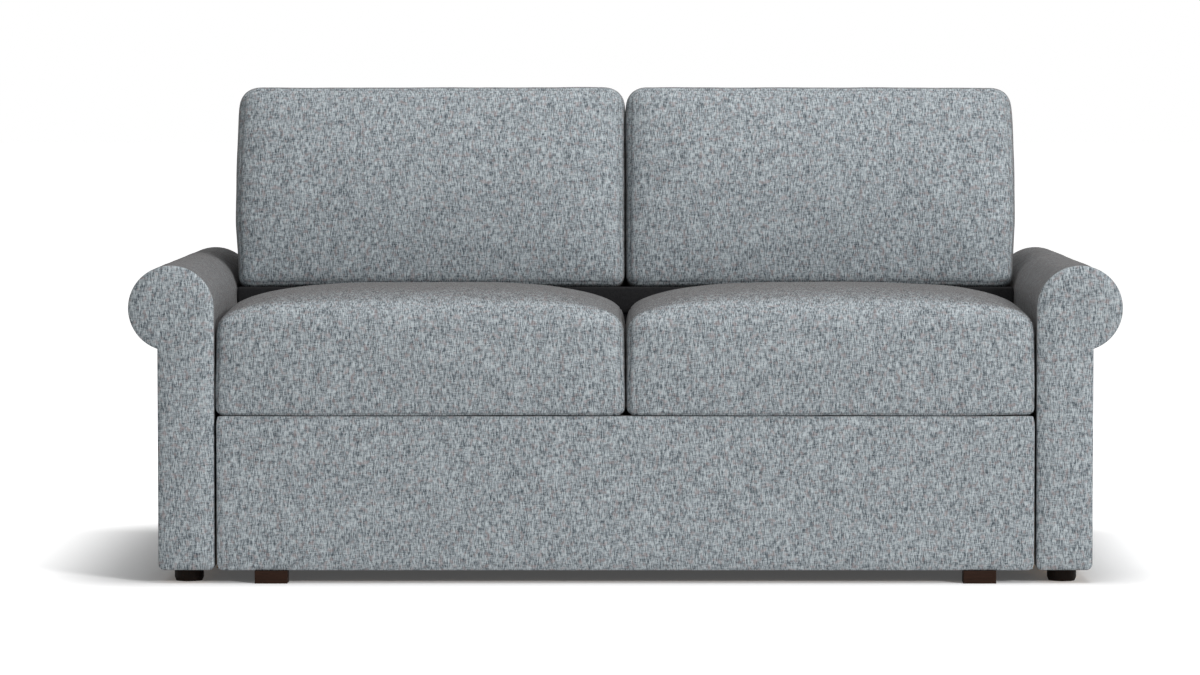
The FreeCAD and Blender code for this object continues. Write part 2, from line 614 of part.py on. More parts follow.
def build_front_panel(base, top):
    """The upholstered front, its cleat, brackets, bolts and block feet, all on the foot section."""
    half = ARM_INNER_X - PANEL_SIDE_GAP
    shell = box(-half, half, FRONT_Y, PANEL_REAR_Y, GROUND_GAP, SEAT_DECK)
    shell = rounded(shell, PANEL_CORNER, lambda edge: along(edge, 1))
    shell = rounded(shell, PANEL_ROUND, lambda edge: edge.BoundBox.YMax < FRONT_Y + 0.01)
    pad = PANEL_PADDING
    inside = box(-half + pad, half - pad, FRONT_Y + pad, PANEL_REAR_Y + 1, GROUND_GAP + pad, SEAT_DECK - pad)
    add("front_panel_cover", shell.cut(inside))
    inner = half - pad - FIT
    board = box(-inner, inner, FRONT_Y + pad, PANEL_REAR_Y, GROUND_GAP + pad + FIT, SEAT_DECK - pad - FIT)
    bolt_z = [base - BRACKET_DROP / 3, base - BRACKET_DROP * 2 / 3]
    bolt_x = [sign * BRACKET_X for sign in (-1, 1)]
    brackets = []
    bolts = []
    for x in bolt_x:
        x0, x1 = x - BRACKET_WIDTH / 2, x + BRACKET_WIDTH / 2
        plate = box(x0, x1, PANEL_REAR_Y, FRAME_FRONT_Y, base - BRACKET_DROP, top)
        for z in bolt_z:
            hole = rod_y(BOLT_RADIUS, x, FRONT_Y + 2 * pad, FRAME_FRONT_Y + 1, z)
            plate = plate.cut(hole)
            board = board.cut(hole)
            shank = rod_y(BOLT_RADIUS, x, FRONT_Y + 2 * pad, FRAME_FRONT_Y, z)
            bolts.append(shank.fuse(rod_y(2 * BOLT_RADIUS, x, FRAME_FRONT_Y, FRAME_FRONT_Y + BOLT_RADIUS, z)))
        brackets.append(plate)
    add("front_panel_board", board)
    add("panel_brackets", *brackets)
    add("panel_bolts", *bolts)
    cleat_x = BED_WIDTH / 2 - CLEAT_INSET
    cleat_y, cleat_z = PANEL_REAR_Y + CLEAT_DEPTH, GROUND_GAP + CLEAT_HEIGHT
    add("panel_cleat", box(-cleat_x, cleat_x, PANEL_REAR_Y, cleat_y, GROUND_GAP, cleat_z))
    for sign, name in ((-1, "left"), (1, "right")):
        x = sign * BLOCK_X
        y = FRONT_Y + BLOCK_SETBACK
        block = box(x - BLOCK_WIDTH / 2, x + BLOCK_WIDTH / 2, y, y + BLOCK_DEPTH, 0, GROUND_GAP)
        add("block_foot_" + name, rounded(block, BLOCK_ROUND, lambda edge: along(edge, 2)))


# Fixed steel: side plates, main pivots, crank pivots and the rear cranks

def build_side_steel():
    low = SIDE_RAIL_BASE + (SIDE_RAIL_HEIGHT - SIDE_PLATE_HEIGHT) / 2
    high = low + SIDE_PLATE_HEIGHT
    tail, slope = CRANK_Y + SIDE_PLATE_TAIL, SIDE_PLATE_SLOPE
    main, rear = MAIN_BOSS_RADIUS, CRANK_BOSS_RADIUS
    outline = [
        (SECTION_FRONT_Y, low), (tail, low), (tail, high), (tail - slope, high),
        (CRANK_Y + rear, CRANK_Z), (CRANK_Y - rear, CRANK_Z), (CRANK_Y - SIDE_PLATE_TAIL, high),
        (PIVOT_Y + SIDE_PLATE_TAIL + slope, high), (PIVOT_Y + main, PIVOT_Z), (PIVOT_Y - main, PIVOT_Z),
        (PIVOT_Y - main, high), (SECTION_FRONT_Y, high),
    ]
    plate = prism_x(outline, PLATE_INNER_X, RAIL_INNER_X)
    bosses = [
        rod_x(main, PLATE_INNER_X, RAIL_INNER_X, PIVOT_Y, PIVOT_Z),
        rod_x(rear, PLATE_INNER_X, RAIL_INNER_X, CRANK_Y, CRANK_Z),
    ]
    plate = plate.fuse(bosses).removeSplitter()
    main_pin = rod_x(PIN_RADIUS, LANE_B - FIT, RAIL_INNER_X, PIVOT_Y, PIVOT_Z)
    collar = rod_x(BOSS_RADIUS, LANE_C, PLATE_INNER_X, PIVOT_Y, PIVOT_Z)
    crank_pin = rod_x(PIN_RADIUS, LANE_B + LANE_GAP, RAIL_INNER_X, CRANK_Y, CRANK_Z)
    clip = rod_x(CLIP_RADIUS, LANE_B + LANE_GAP, LANE_C - FIT, CRANK_Y, CRANK_Z)
    crank_collar = rod_x(BOSS_RADIUS, LANE_C + LANE_PLATE + FIT, PLATE_INNER_X, CRANK_Y, CRANK_Z)
    for y, z in ((PIVOT_Y, PIVOT_Z), (CRANK_Y, CRANK_Z)):
        plate = plate.cut(rod_x(PIN_RADIUS, PLATE_INNER_X - 1, RAIL_INNER_X + 1, y, z))
    bolts = []
    for y, z in plate_bolt_places():
        plate = plate.cut(rod_x(BOLT_RADIUS, PLATE_INNER_X - 1, RAIL_INNER_X + 1, y, z))
        shank = rod_x(BOLT_RADIUS, PLATE_INNER_X, RAIL_OUTER_X - BOLT_RADIUS, y, z)
        bolts += both(shank.fuse(rod_x(2 * BOLT_RADIUS, PLATE_INNER_X - BOLT_RADIUS, PLATE_INNER_X, y, z)))
    add("side_plate_right", plate)
    add("side_plate_left", mirrored(plate))
    add("plate_bolts", *bolts)
    add("main_pivot_pins", *both(main_pin.fuse(collar).removeSplitter()))
    add("crank_pivot_pins", *both(crank_pin.fuse([clip, crank_collar]).removeSplitter()))
    stud_z = CRANK_Z - LAYER
    crank = slot_plate(CRANK_Y, CRANK_Z, CRANK_Y, stud_z, CRANK_WIDTH / 2, LANE_C, LANE_C + LANE_PLATE)
    crank = crank.cut(rod_x(PIN_RADIUS + RUNNING_FIT, LANE_B, LANE_C + 2 * LANE_PLATE, CRANK_Y, CRANK_Z))
    crank = crank.fuse(rod_x(CRANK_STUD_RADIUS, FRAME_X - FRAME_WIDTH, LANE_C, CRANK_Y, stud_z))
    add("rear_crank_right", crank)
    add("rear_crank_left", mirrored(crank))


# Cushions: crowned, with the sides drawn in towards the end seams

def soft_section(x, low, high, radii, bulge):
    """A closed outline in the plane x. low and high are (y, z) corners, radii go round from the front bottom
    corner by the front top, and bulge is how far the front, top, rear and bottom swell."""
    (y0, z0), (y1, z1) = low, high
    front_bottom, front_top, rear_top, rear_bottom = radii
    front, top, rear, bottom = bulge
    k = 1 - math.sqrt(0.5)
    a = Vector(x, y0, z0 + front_bottom)
    b = Vector(x, y0, z1 - front_top)
    c = Vector(x, y0 + front_top, z1)
    d = Vector(x, y1 - rear_top, z1)
    e = Vector(x, y1, z1 - rear_top)
    f = Vector(x, y1, z0 + rear_bottom)
    g = Vector(x, y1 - rear_bottom, z0)
    h = Vector(x, y0 + front_bottom, z0)
    return Part.Wire([
        Part.Arc(a, (a + b) * 0.5 + Vector(0, -front, 0), b).toShape(),
        Part.Arc(b, Vector(x, y0 + k * front_top, z1 - k * front_top), c).toShape(),
        Part.Arc(c, (c + d) * 0.5 + Vector(0, 0, top), d).toShape(),
        Part.Arc(d, Vector(x, y1 - k * rear_top, z1 - k * rear_top), e).toShape(),
        Part.Arc(e, (e + f) * 0.5 + Vector(0, rear, 0), f).toShape(),
        Part.Arc(f, Vector(x, y1 - k * rear_bottom, z0 + k * rear_bottom), g).toShape(),
        Part.Arc(g, (g + h) * 0.5 + Vector(0, 0, -bottom), h).toShape() if bottom else Part.makeLine(g, h),
        Part.Arc(h, Vector(x, y0 + k * front_bottom, z0 + k * front_bottom), a).toShape(),
    ])


def stations(x0, x1):
    """Places along a cushion, with how full it is there: drawn in at the end seams, full in the middle."""
    width = x1 - x0
    shares = [(0, 0.0), (0.04, 0.5), (0.12, 0.8), (0.28, 0.95), (0.5, 1.0)]
    shares += [(1 - share, fullness) for share, fullness in reversed(shares[:-1])]
    return [(x0 + share * width, fullness) for share, fullness in shares]


def seat_cushion():
    """The right seat cushion, flat underneath, with a soft front edge."""
    y0, y1 = SEAT_FRONT_Y, SEAT_REAR_Y
    z0 = SEAT_DECK + FIT
    wires = []
    for x, full in stations(CUSHION_GAP, ARM_INNER_X - CUSHION_GAP):
        drawn = SEAT_END_DRAW * (1 - full)
        top = z0 + SEAT_SIDE_HEIGHT - SEAT_END_DROP * (1 - full) + SEAT_CROWN / 2 * full
        wires.append(soft_section(
            x, (y0 + drawn, z0), (y1 - drawn, top), SEAT_EDGE_ROUNDS,
            (SEAT_FRONT_SWELL * full + SWELL_LEAST, SEAT_CROWN / 2 * full + SWELL_LEAST,
             SEAT_REAR_SWELL * full + SWELL_LEAST, 0)))
    return Part.makeLoft(wires, True, False, False, LOFT_DEGREE)


def back_cushion():
    """The right back cushion, built upright and then leant back about its front bottom edge."""
    y1 = BACK_CUSHION_THICKNESS - 2 * SWELL_LEAST
    wires = []
    for x, full in stations(CUSHION_GAP, ARM_INNER_X - CUSHION_GAP):
        drawn = BACK_END_DRAW * (1 - full)
        corner = BACK_CORNER * (1 - full) ** 2
        wires.append(soft_section(
            x, (drawn + BACK_FRONT_INSET, BACK_EDGE_SWELL + corner / 2),
            (y1 - drawn, BACK_CUSHION_HEIGHT - BACK_EDGE_SWELL - corner), BACK_EDGE_ROUNDS,
            (BACK_CROWN * full + SWELL_LEAST, BACK_EDGE_SWELL, SWELL_LEAST, BACK_EDGE_SWELL)))
    cushion = Part.makeLoft(wires, True, False, False, LOFT_DEGREE)
    cushion.rotate(Vector(0, 0, 0), Vector(1, 0, 0), -LEAN)
    cushion.translate(Vector(0, CUSHION_Y, CUSHION_Z))
    return cushion


def build_cushions():
    seat = seat_cushion()
    back = back_cushion()
    add("seat_cushion_right", seat)
    add("seat_cushion_left", mirrored(seat))
    add("back_cushion_right", back)
    add("back_cushion_left", mirrored(back))


build_arms()
build_base()
build_back()
build_side_steel()
build_head()
build_middle()
build_legs()
build_foot()
build_cushions()

os.makedirs("parts", exist_ok=True)
for name, shape in made.items():
    if not shape.isValid() or shape.Volume <= 0 or not shape.Solids:
        raise SystemExit(name + " is not a sound solid")
    shape.exportStep("parts/" + name + ".step")
print(len(made), "nodes,", sum(len(shape.Solids) for shape in made.values()), "solids")
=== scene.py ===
# A two-seat rolled-arm sofa whose front panel pulls out as a folding bed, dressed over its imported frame.
# Sections follow the sofa as it is put together: view, room, arms, base, back, steel, bed, front, cushions.

import bpy
import math
import numpy as np
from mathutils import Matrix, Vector, noise


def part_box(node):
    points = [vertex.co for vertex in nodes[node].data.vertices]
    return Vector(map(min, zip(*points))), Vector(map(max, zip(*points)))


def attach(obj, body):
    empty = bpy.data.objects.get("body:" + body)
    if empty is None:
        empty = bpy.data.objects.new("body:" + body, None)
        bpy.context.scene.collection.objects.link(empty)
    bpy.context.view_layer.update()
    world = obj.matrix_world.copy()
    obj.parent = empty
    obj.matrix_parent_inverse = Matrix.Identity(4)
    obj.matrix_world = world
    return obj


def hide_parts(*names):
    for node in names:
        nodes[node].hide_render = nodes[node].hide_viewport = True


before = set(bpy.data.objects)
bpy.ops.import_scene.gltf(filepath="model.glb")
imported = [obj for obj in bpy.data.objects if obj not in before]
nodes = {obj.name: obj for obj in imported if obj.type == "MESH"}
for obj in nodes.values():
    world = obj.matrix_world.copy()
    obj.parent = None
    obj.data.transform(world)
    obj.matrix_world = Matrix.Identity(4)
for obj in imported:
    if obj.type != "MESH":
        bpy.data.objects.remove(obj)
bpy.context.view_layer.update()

scene = bpy.context.scene


# The view. A long lens about nine metres in front of the sofa, a little above its backs and tipped down by
# three degrees, which is where the photograph was taken from.

camera_data = bpy.data.cameras.new("camera")
camera_data.sensor_width = 36
camera_data.lens = 142.4
camera_data.shift_x = -0.0212
camera_data.clip_end = 100
camera = bpy.data.objects.new("camera", camera_data)
camera.location = (0, -9.453, 0.955)
camera.rotation_euler = (math.radians(90 - 3.125), 0, 0)
scene.collection.objects.link(camera)
scene.camera = camera
scene.view_settings.view_transform = "Standard"


# The room. A white floor that runs on to a white background. A painted glow that only the camera sees lifts
# it to pure white away from the sofa and fades near it, so that the shadow stays and the floor also darkens
# towards the sofa.
# A broad soft lamp stands to the right and a weaker one overhead, in even light.

def put(tree, kind, *feeds, **settings):
    """Adds a node. Each feed is a socket or a value for the input in that place, and None leaves it alone."""
    node = tree.nodes.new(kind)
    for name, value in settings.items():
        setattr(node, name, value)
    for place, feed in enumerate(feeds):
        if isinstance(feed, bpy.types.NodeSocket):
            tree.links.new(feed, node.inputs[place])
        elif feed is not None:
            node.inputs[place].default_value = feed
    return node


def sum_of(tree, kind, *feeds):
    """The result of one Math node."""
    return put(tree, "ShaderNodeMath", *feeds, operation=kind).outputs[0]


def ranged(tree, value, span, low, high, smooth=False):
    """A value that goes from low to high while the one fed in goes through the span."""
    return put(tree, "ShaderNodeMapRange", value, *span, low, high,
               interpolation_type="SMOOTHSTEP" if smooth else "LINEAR").outputs[0]


def mixed(tree, share, first, second):
    """A colour between two colours."""
    node = put(tree, "ShaderNodeMix", share, data_type="RGBA")
    for place, feed in ((6, first), (7, second)):
        if isinstance(feed, bpy.types.NodeSocket):
            tree.links.new(feed, node.inputs[place])
        else:
            node.inputs[place].default_value = (*feed, 1)
    return node.outputs[2]


def seen_directly(tree):
    """One for what the camera sees directly, or through gloss and glass."""
    path = put(tree, "ShaderNodeLightPath")
    both = sum_of(tree, "MAXIMUM", path.outputs["Is Camera Ray"], path.outputs["Is Glossy Ray"])
    return sum_of(tree, "MAXIMUM", both, path.outputs["Is Transmission Ray"])


FLOOR_WHITE = (0.86, 0.86, 0.86, 1)
FLOOR_CORNERS = [(-40, -30, 0), (40, -30, 0), (40, 60, 0), (-40, 60, 0)]
NEAR_LIFT, FAR_LIFT = 0.035, 0.78
LIFT_SPAN = (-0.06, 0.42)
FOOTPRINT = (0.90, 0.46)
ROOM_LIGHT = 0.32
WHITE = (1, 1, 1, 1)

floor_mesh = bpy.data.meshes.new("floor")
floor_mesh.from_pydata(FLOOR_CORNERS, [], [(0, 1, 2, 3)])
floor = bpy.data.objects.new("floor", floor_mesh)
scene.collection.objects.link(floor)
floor_paint = bpy.data.materials.new("floor_paint")
floor_paint.use_nodes = True
tree = floor_paint.node_tree
tree.nodes.clear()
matt = put(tree, "ShaderNodeBsdfDiffuse", FLOOR_WHITE)
spot = put(tree, "ShaderNodeSeparateXYZ", put(tree, "ShaderNodeTexCoord").outputs["Object"])
beside, before = (
    sum_of(tree, "MAXIMUM", sum_of(tree, "SUBTRACT", sum_of(tree, "ABSOLUTE", spot.outputs[axis]), half), 0.0)
    for axis, half in enumerate(FOOTPRINT)
)
corner = put(tree, "ShaderNodeCombineXYZ", beside, before).outputs[0]
distance = put(tree, "ShaderNodeVectorMath", corner, operation="LENGTH").outputs["Value"]
# Painted light: the camera-only glow rises from faint at the footprint's edge to near white 0.42 m out, so
# the floor darkens towards the sofa by its place.
away = ranged(tree, distance, LIFT_SPAN, NEAR_LIFT, FAR_LIFT, smooth=True)
floor_glow = put(tree, "ShaderNodeEmission", WHITE, sum_of(tree, "MULTIPLY", seen_directly(tree), away))
both = put(tree, "ShaderNodeAddShader", matt.outputs[0], floor_glow.outputs[0])
put(tree, "ShaderNodeOutputMaterial", both.outputs[0])
floor_mesh.materials.append(floor_paint)

room = bpy.data.worlds.new("room")
room.use_nodes = True
scene.world = room
tree = room.node_tree
tree.nodes.clear()
even = put(tree, "ShaderNodeBackground", WHITE, ROOM_LIGHT)
white = put(tree, "ShaderNodeBackground", WHITE, 1.0)
shown = put(tree, "ShaderNodeMixShader", seen_directly(tree), even.outputs[0], white.outputs[0])
put(tree, "ShaderNodeOutputWorld", shown.outputs[0])

LAMPS = (
    ("key_lamp", (8.6, -9.8, 5.6), (0.0, 0.0, 0.45), 3.0, 1120.0),
    ("top_lamp", (0.6, -0.8, 4.6), (0.0, -0.2, 0.0), 2.6, 110.0),
)
for name, place, aim, width, power in LAMPS:
    lamp_data = bpy.data.lights.new(name, "AREA")
    lamp_data.shape = "DISK"
    lamp_data.size = width
    lamp_data.energy = power
    lamp = bpy.data.objects.new(name, lamp_data)
    lamp.location = place
    lamp.rotation_euler = (Vector(aim) - Vector(place)).to_track_quat("-Z", "Y").to_euler()
    scene.collection.objects.link(lamp)


# Arms. Each is a foam-padded wooden arm with a roll along its top, covered in one heathered linen weave over
# softly domed ends. The cover is an open-bottomed shell 13 mm thick, tacked on under the arm.

def group_of(name, kind, takes, gives):
    """An empty node group with its named inputs and outputs, and the sockets that it is given."""
    group = bpy.data.node_groups.new(name, kind)
    for way, rows in (("INPUT", takes), ("OUTPUT", gives)):
        for title, socket in rows:
            group.interface.new_socket(title, in_out=way, socket_type="NodeSocket" + socket)
    return group, group.nodes.new("NodeGroupInput").outputs


def handed_out(group, *sockets):
    """The group, with its results fed to its outputs."""
    result = group.nodes.new("NodeGroupOutput")
    for place, socket in enumerate(sockets):
        group.links.new(socket, result.inputs[place])
    return group


def clouds(tree, place, scale, detail, roughness=0.5, dimensions="3D"):
    """Smooth noise."""
    feeds = (place, None, scale, detail, roughness)
    return put(tree, "ShaderNodeTexNoise", *feeds, noise_dimensions=dimensions).outputs[0]


LOOK_OUTPUTS = (("Color", "Color"), ("Roughness", "Float"), ("Height", "Float"))
YARN_STEP, WEFT_START = 3.71, 41.3
WARP_OVER, WEFT_OVER = 0.12, 0.44
TONE_SPAN = (0.34, 0.66)
FLECK_SIZE, FLECK_SPAN, FLECK_START, FLECK_SHARE = 0.011, (0.56, 0.72), 3.1, 0.5
CLOUD_SIZE, CLOUD_SPAN, CLOUD_START, CLOUD_DEPTH = 0.045, (0.25, 0.75), 7.7, 0.10
SEAM_SPAN, SEAM_SHADE_DEPTH, SEAM_HEIGHT = (0.0004, 0.0022), 0.3, 2.5


def weave_group():
    """Plain weave of slubbed yarns. Every yarn changes tone along its length, and some flecks are warm.
    Painted shade darkens the colour along the seams.
    """
    takes = (("Weave", "Vector"), ("Pitch", "Float"), ("Slub length", "Float"), ("Pale yarn", "Color"),
             ("Dark yarn", "Color"), ("Warm fleck", "Color"), ("Seam", "Float"))
    group, given = group_of("slubbed weave", "ShaderNodeTree", takes, LOOK_OUTPUTS)
    per_metre = sum_of(group, "DIVIDE", 1.0, given["Pitch"])
    count = put(group, "ShaderNodeVectorMath", given["Weave"], None, None, per_metre, operation="SCALE")
    across, along, _ = put(group, "ShaderNodeSeparateXYZ", count.outputs[0]).outputs
    yarn_x, yarn_y = sum_of(group, "FLOOR", across), sum_of(group, "FLOOR", along)
    stretch = sum_of(group, "DIVIDE", given["Pitch"], given["Slub length"])

    def yarn_tone(number, run, start):
        """The tone along one yarn, which differs from that of the next."""
        place = put(group, "ShaderNodeCombineXYZ", sum_of(group, "MULTIPLY_ADD", number, YARN_STEP, start),
                    sum_of(group, "MULTIPLY", run, stretch))
        return clouds(group, place.outputs[0], 1.0, 1.5, 0.55, "2D")

    def between(share, first, second):
        """A value between two values."""
        return put(group, "ShaderNodeMix", share, None, first, second, data_type="FLOAT").outputs[0]

    def patches(size, span, start):
        """Soft-edged patches of a size given in metres, from nought to one."""
        moved = put(group, "ShaderNodeVectorMath", given["Weave"], (start, start, 0), operation="ADD")
        spots = clouds(group, moved.outputs[0], 1.0 / size, 2.0, dimensions="2D")
        return ranged(group, spots, span, 0.0, 1.0)

    def ridge(run):
        """The round back of a yarn."""
        return sum_of(group, "ABSOLUTE", sum_of(group, "SINE", sum_of(group, "MULTIPLY", run, math.pi)))

    over = sum_of(group, "MODULO", sum_of(group, "ABSOLUTE", sum_of(group, "ADD", yarn_x, yarn_y)), 2.0)
    tone = between(sum_of(group, "MULTIPLY_ADD", over, WEFT_OVER, WARP_OVER), yarn_tone(yarn_x, along, 0.0),
                   yarn_tone(yarn_y, across, WEFT_START))
    spread = ranged(group, tone, TONE_SPAN, 0.0, 1.0)
    colour = mixed(group, spread, given["Dark yarn"], given["Pale yarn"])
    fleck = sum_of(group, "MULTIPLY", patches(FLECK_SIZE, FLECK_SPAN, FLECK_START), FLECK_SHARE)
    flecked = mixed(group, fleck, colour, given["Warm fleck"])
    cloudy = patches(CLOUD_SIZE, CLOUD_SPAN, CLOUD_START)
    cloudy = sum_of(group, "MULTIPLY_ADD", cloudy, CLOUD_DEPTH, 1 - CLOUD_DEPTH / 2)
    # Painted shade: the colour darkens by up to 30% within about 2 mm of a seam, for the shade in the seam's
    # valley.
    seam = ranged(group, sum_of(group, "ABSOLUTE", given["Seam"]), SEAM_SPAN, 0.0, 1.0, smooth=True)
    tone_and_seam_shade = sum_of(group, "MULTIPLY", cloudy, sum_of(group, "MULTIPLY_ADD", seam, SEAM_SHADE_DEPTH, 1 - SEAM_SHADE_DEPTH))
    toned = put(group, "ShaderNodeVectorMath", flecked, None, None, tone_and_seam_shade, operation="SCALE")
    height = sum_of(group, "MULTIPLY_ADD", spread, 0.5, between(over, ridge(across), ridge(along)))
    height = sum_of(group, "MULTIPLY_ADD", seam, SEAM_HEIGHT, height)
    rough = sum_of(group, "MULTIPLY_ADD", spread, -0.08, 0.92)
    return handed_out(group, toned.outputs[0], rough, height)


def surface(name, roughness=0.6):
    """A new material with its tree and its one Principled shader."""
    material = bpy.data.materials.new(name)
    material.use_nodes = True
    shader = material.node_tree.nodes["Principled BSDF"]
    shader.inputs["Roughness"].default_value = roughness
    return material, material.node_tree, shader


def bumped(tree, shader, height, strength, distance):
    """Feeds a height to the shader's normal."""
    bump = put(tree, "ShaderNodeBump", strength, distance)
    tree.links.new(height, bump.inputs["Height"])
    tree.links.new(bump.outputs[0], shader.inputs["Normal"])


WEAVE = weave_group()
YARN_PITCH = 0.0015
SLUB_LENGTH = 0.012
PALE_YARN = (0.475, 0.522, 0.545)
DARK_YARN = (0.068, 0.085, 0.100)
WARM_FLECK = (0.30, 0.235, 0.23)
# Painted shade: the dark warm colour that the linen is darkened towards where it is seen edge-on, mostly on
# the tops.
GRAZING_SHADE = (0.052, 0.042, 0.038)
GRAZE_SPAN, GRAZE_SHARE = (0.46, 0.97), 0.68
WARM_SHEEN, GREY_SHEEN, PLAIN_SHEEN = (0.9, 0.7, 0.6), (0.8, 0.8, 0.8), (1, 1, 1)


def woven(name, pitch, slub, pale, dark, fleck, sheen, tint, grazing_shade=None):
    """A cloth of the slubbed weave, read from the piece's weave map. With a grazing shade given, its colour
    darkens towards it where the surface is seen edge-on, mostly the tops: painted shade.
    """
    material, tree, shader = surface(name, 0.9)
    run = put(tree, "ShaderNodeUVMap", uv_map="weave").outputs[0]
    seam = put(tree, "ShaderNodeAttribute", attribute_name="seam").outputs["Fac"]
    yarns = ((*colour, 1) for colour in (pale, dark, fleck))
    cloth = put(tree, "ShaderNodeGroup", run, pitch, slub, *yarns, seam, node_tree=WEAVE)
    colour = cloth.outputs["Color"]
    # Painted shade: the colour goes towards the grazing shade as the surface turns edge-on to the view.
    if grazing_shade:
        facing = put(tree, "ShaderNodeLayerWeight", 0.5).outputs["Facing"]
        colour = mixed(tree, ranged(tree, facing, GRAZE_SPAN, 0.0, GRAZE_SHARE, smooth=True), colour, grazing_shade)
    tree.links.new(colour, shader.inputs["Base Color"])
    tree.links.new(cloth.outputs["Roughness"], shader.inputs["Roughness"])
    shader.inputs["Specular IOR Level"].default_value = 0.25
    shader.inputs["Sheen Weight"].default_value = sheen
    shader.inputs["Sheen Roughness"].default_value = 0.45
    shader.inputs["Sheen Tint"].default_value = (*tint, 1)
    bumped(tree, shader, cloth.outputs["Height"], 0.55, 0.0004)
    return material


linen = woven("heathered_linen", YARN_PITCH, SLUB_LENGTH, PALE_YARN, DARK_YARN, WARM_FLECK, 0.04, WARM_SHEEN,
              GRAZING_SHADE)


def cloth_mesh(name, points, faces, weave, seam=None):
    """A mesh with its weave map, one pair for each face corner, and its distance to the nearest seam."""
    mesh = bpy.data.meshes.new(name)
    mesh.from_pydata([tuple(p) for p in points], [], faces)
    layer = mesh.uv_layers.new(name="weave")
    layer.data.foreach_set("uv", np.asarray(weave, float).ravel())
    reach = np.ones(len(mesh.vertices)) if seam is None else np.asarray(seam, float)
    mesh.attributes.new("seam", "FLOAT", "POINT").data.foreach_set("value", reach)
    mesh.polygons.foreach_set("use_smooth", np.ones(len(mesh.polygons), bool))
    return mesh


def placed(name, mesh, material, body, slot, *replaced, fill=None):
    """Links a piece, gives it its finish and body, and hides the solids that it stands for."""
    piece = bpy.data.objects.new(name, mesh)
    scene.collection.objects.link(piece)
    mesh.materials.clear()
    mesh.materials.append(material)
    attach(piece, body)
    if replaced:
        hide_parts(*replaced)
    return piece


def baked(piece):
    """The plain mesh of a piece with its modifiers applied."""
    bpy.context.view_layer.update()
    done = bpy.data.meshes.new_from_object(piece.evaluated_get(bpy.context.evaluated_depsgraph_get()))
    piece.modifiers.clear()
    return done


def reshaped(mesh, kind, **settings):
    """The mesh after one modifier with these settings."""
    piece = bpy.data.objects.new("reshaped", mesh)
    scene.collection.objects.link(piece)
    modifier = piece.modifiers.new("reshape", kind)
    for name, value in settings.items():
        setattr(modifier, name, value)
    done = baked(piece)
    bpy.data.objects.remove(piece)
    return done


def carved(mesh, cutter):
    """The mesh with the room that a second mesh takes cut out of it."""
    tool = bpy.data.objects.new("tool", cutter)
    scene.collection.objects.link(tool)
    done = reshaped(mesh, "BOOLEAN", operation="DIFFERENCE", solver="EXACT", object=tool)
    bpy.data.objects.remove(tool)
    return done


def unevenness(point, size, seed):
    """A smooth random value from -1 to 1 that changes over a length given in metres."""
    return noise.noise(Vector(point) / size + Vector((seed, seed * 1.7, seed * 0.3)))


arm_low, arm_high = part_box("arm_cover_right")
ARM_WIDTH = 0.107
body_outer = arm_low.x + ARM_WIDTH
ROLL_RADIUS = 0.081
ROLL_X, ROLL_Z = arm_low.x + ROLL_RADIUS, arm_high.z - ROLL_RADIUS
ARM_PADDING = 0.013
BOTTOM_ROUND, LEAST_ROUND = 0.012, 0.0015
END_REACH, END_DEPTH = 0.046, 0.0125
CORNER_STEPS, ROLL_STEPS, DOME_STEPS = 6, 63, 11
ARM_UNEVEN, ARM_UNEVEN_SIZE, ARM_UNEVEN_FROM = 0.0009, 0.13, 0.02


def arm_outline(inset, count=26):
    """The arm's closed outline from the front, drawn in by inset, as (x, z) pairs going round clockwise."""
    inner, outer, base = arm_low.x + inset, body_outer - inset, arm_low.z + inset
    corner = max(BOTTOM_ROUND - inset, LEAST_ROUND)
    radius = ROLL_RADIUS - inset
    neck = math.acos(min(1.0, (outer - ROLL_X) / radius))
    neck_z = ROLL_Z - radius * math.sin(neck)
    line = []
    for i in range(CORNER_STEPS + 1):
        turn = math.radians(270 - 90 * i / CORNER_STEPS)
        line.append((inner + corner + corner * math.cos(turn), base + corner + corner * math.sin(turn)))
    for i in range(1, count):
        line.append((inner, base + corner + (ROLL_Z - base - corner) * i / count))
    for i in range(ROLL_STEPS + 1):
        turn = math.pi - (math.pi + neck) * i / ROLL_STEPS
        line.append((ROLL_X + radius * math.cos(turn), ROLL_Z + radius * math.sin(turn)))
    for i in range(1, count):
        line.append((outer, neck_z + (base + corner - neck_z) * i / count))
    for i in range(CORNER_STEPS + 1):
        turn = math.radians(-90 * i / CORNER_STEPS)
        line.append((outer - corner + corner * math.cos(turn), base + corner + corner * math.sin(turn)))
    return line


def arm_rows(steps):
    """Outlines from the front end to the rear: (inset, y). Both ends are softly domed by their padding."""
    turns = [math.radians(90 * i / DOME_STEPS) for i in range(DOME_STEPS + 1)]
    dome = [(END_REACH * (1 - math.sin(turn)), END_DEPTH * (1 - math.cos(turn))) for turn in turns]
    front = [(inset, arm_low.y + drop) for inset, drop in dome]
    rear = [(inset, arm_high.y - drop) for inset, drop in reversed(dome)]
    y0, y1 = front[-1][1], rear[0][1]
    return front + [(0.0, y0 + (y1 - y0) * i / steps) for i in range(1, steps)] + rear


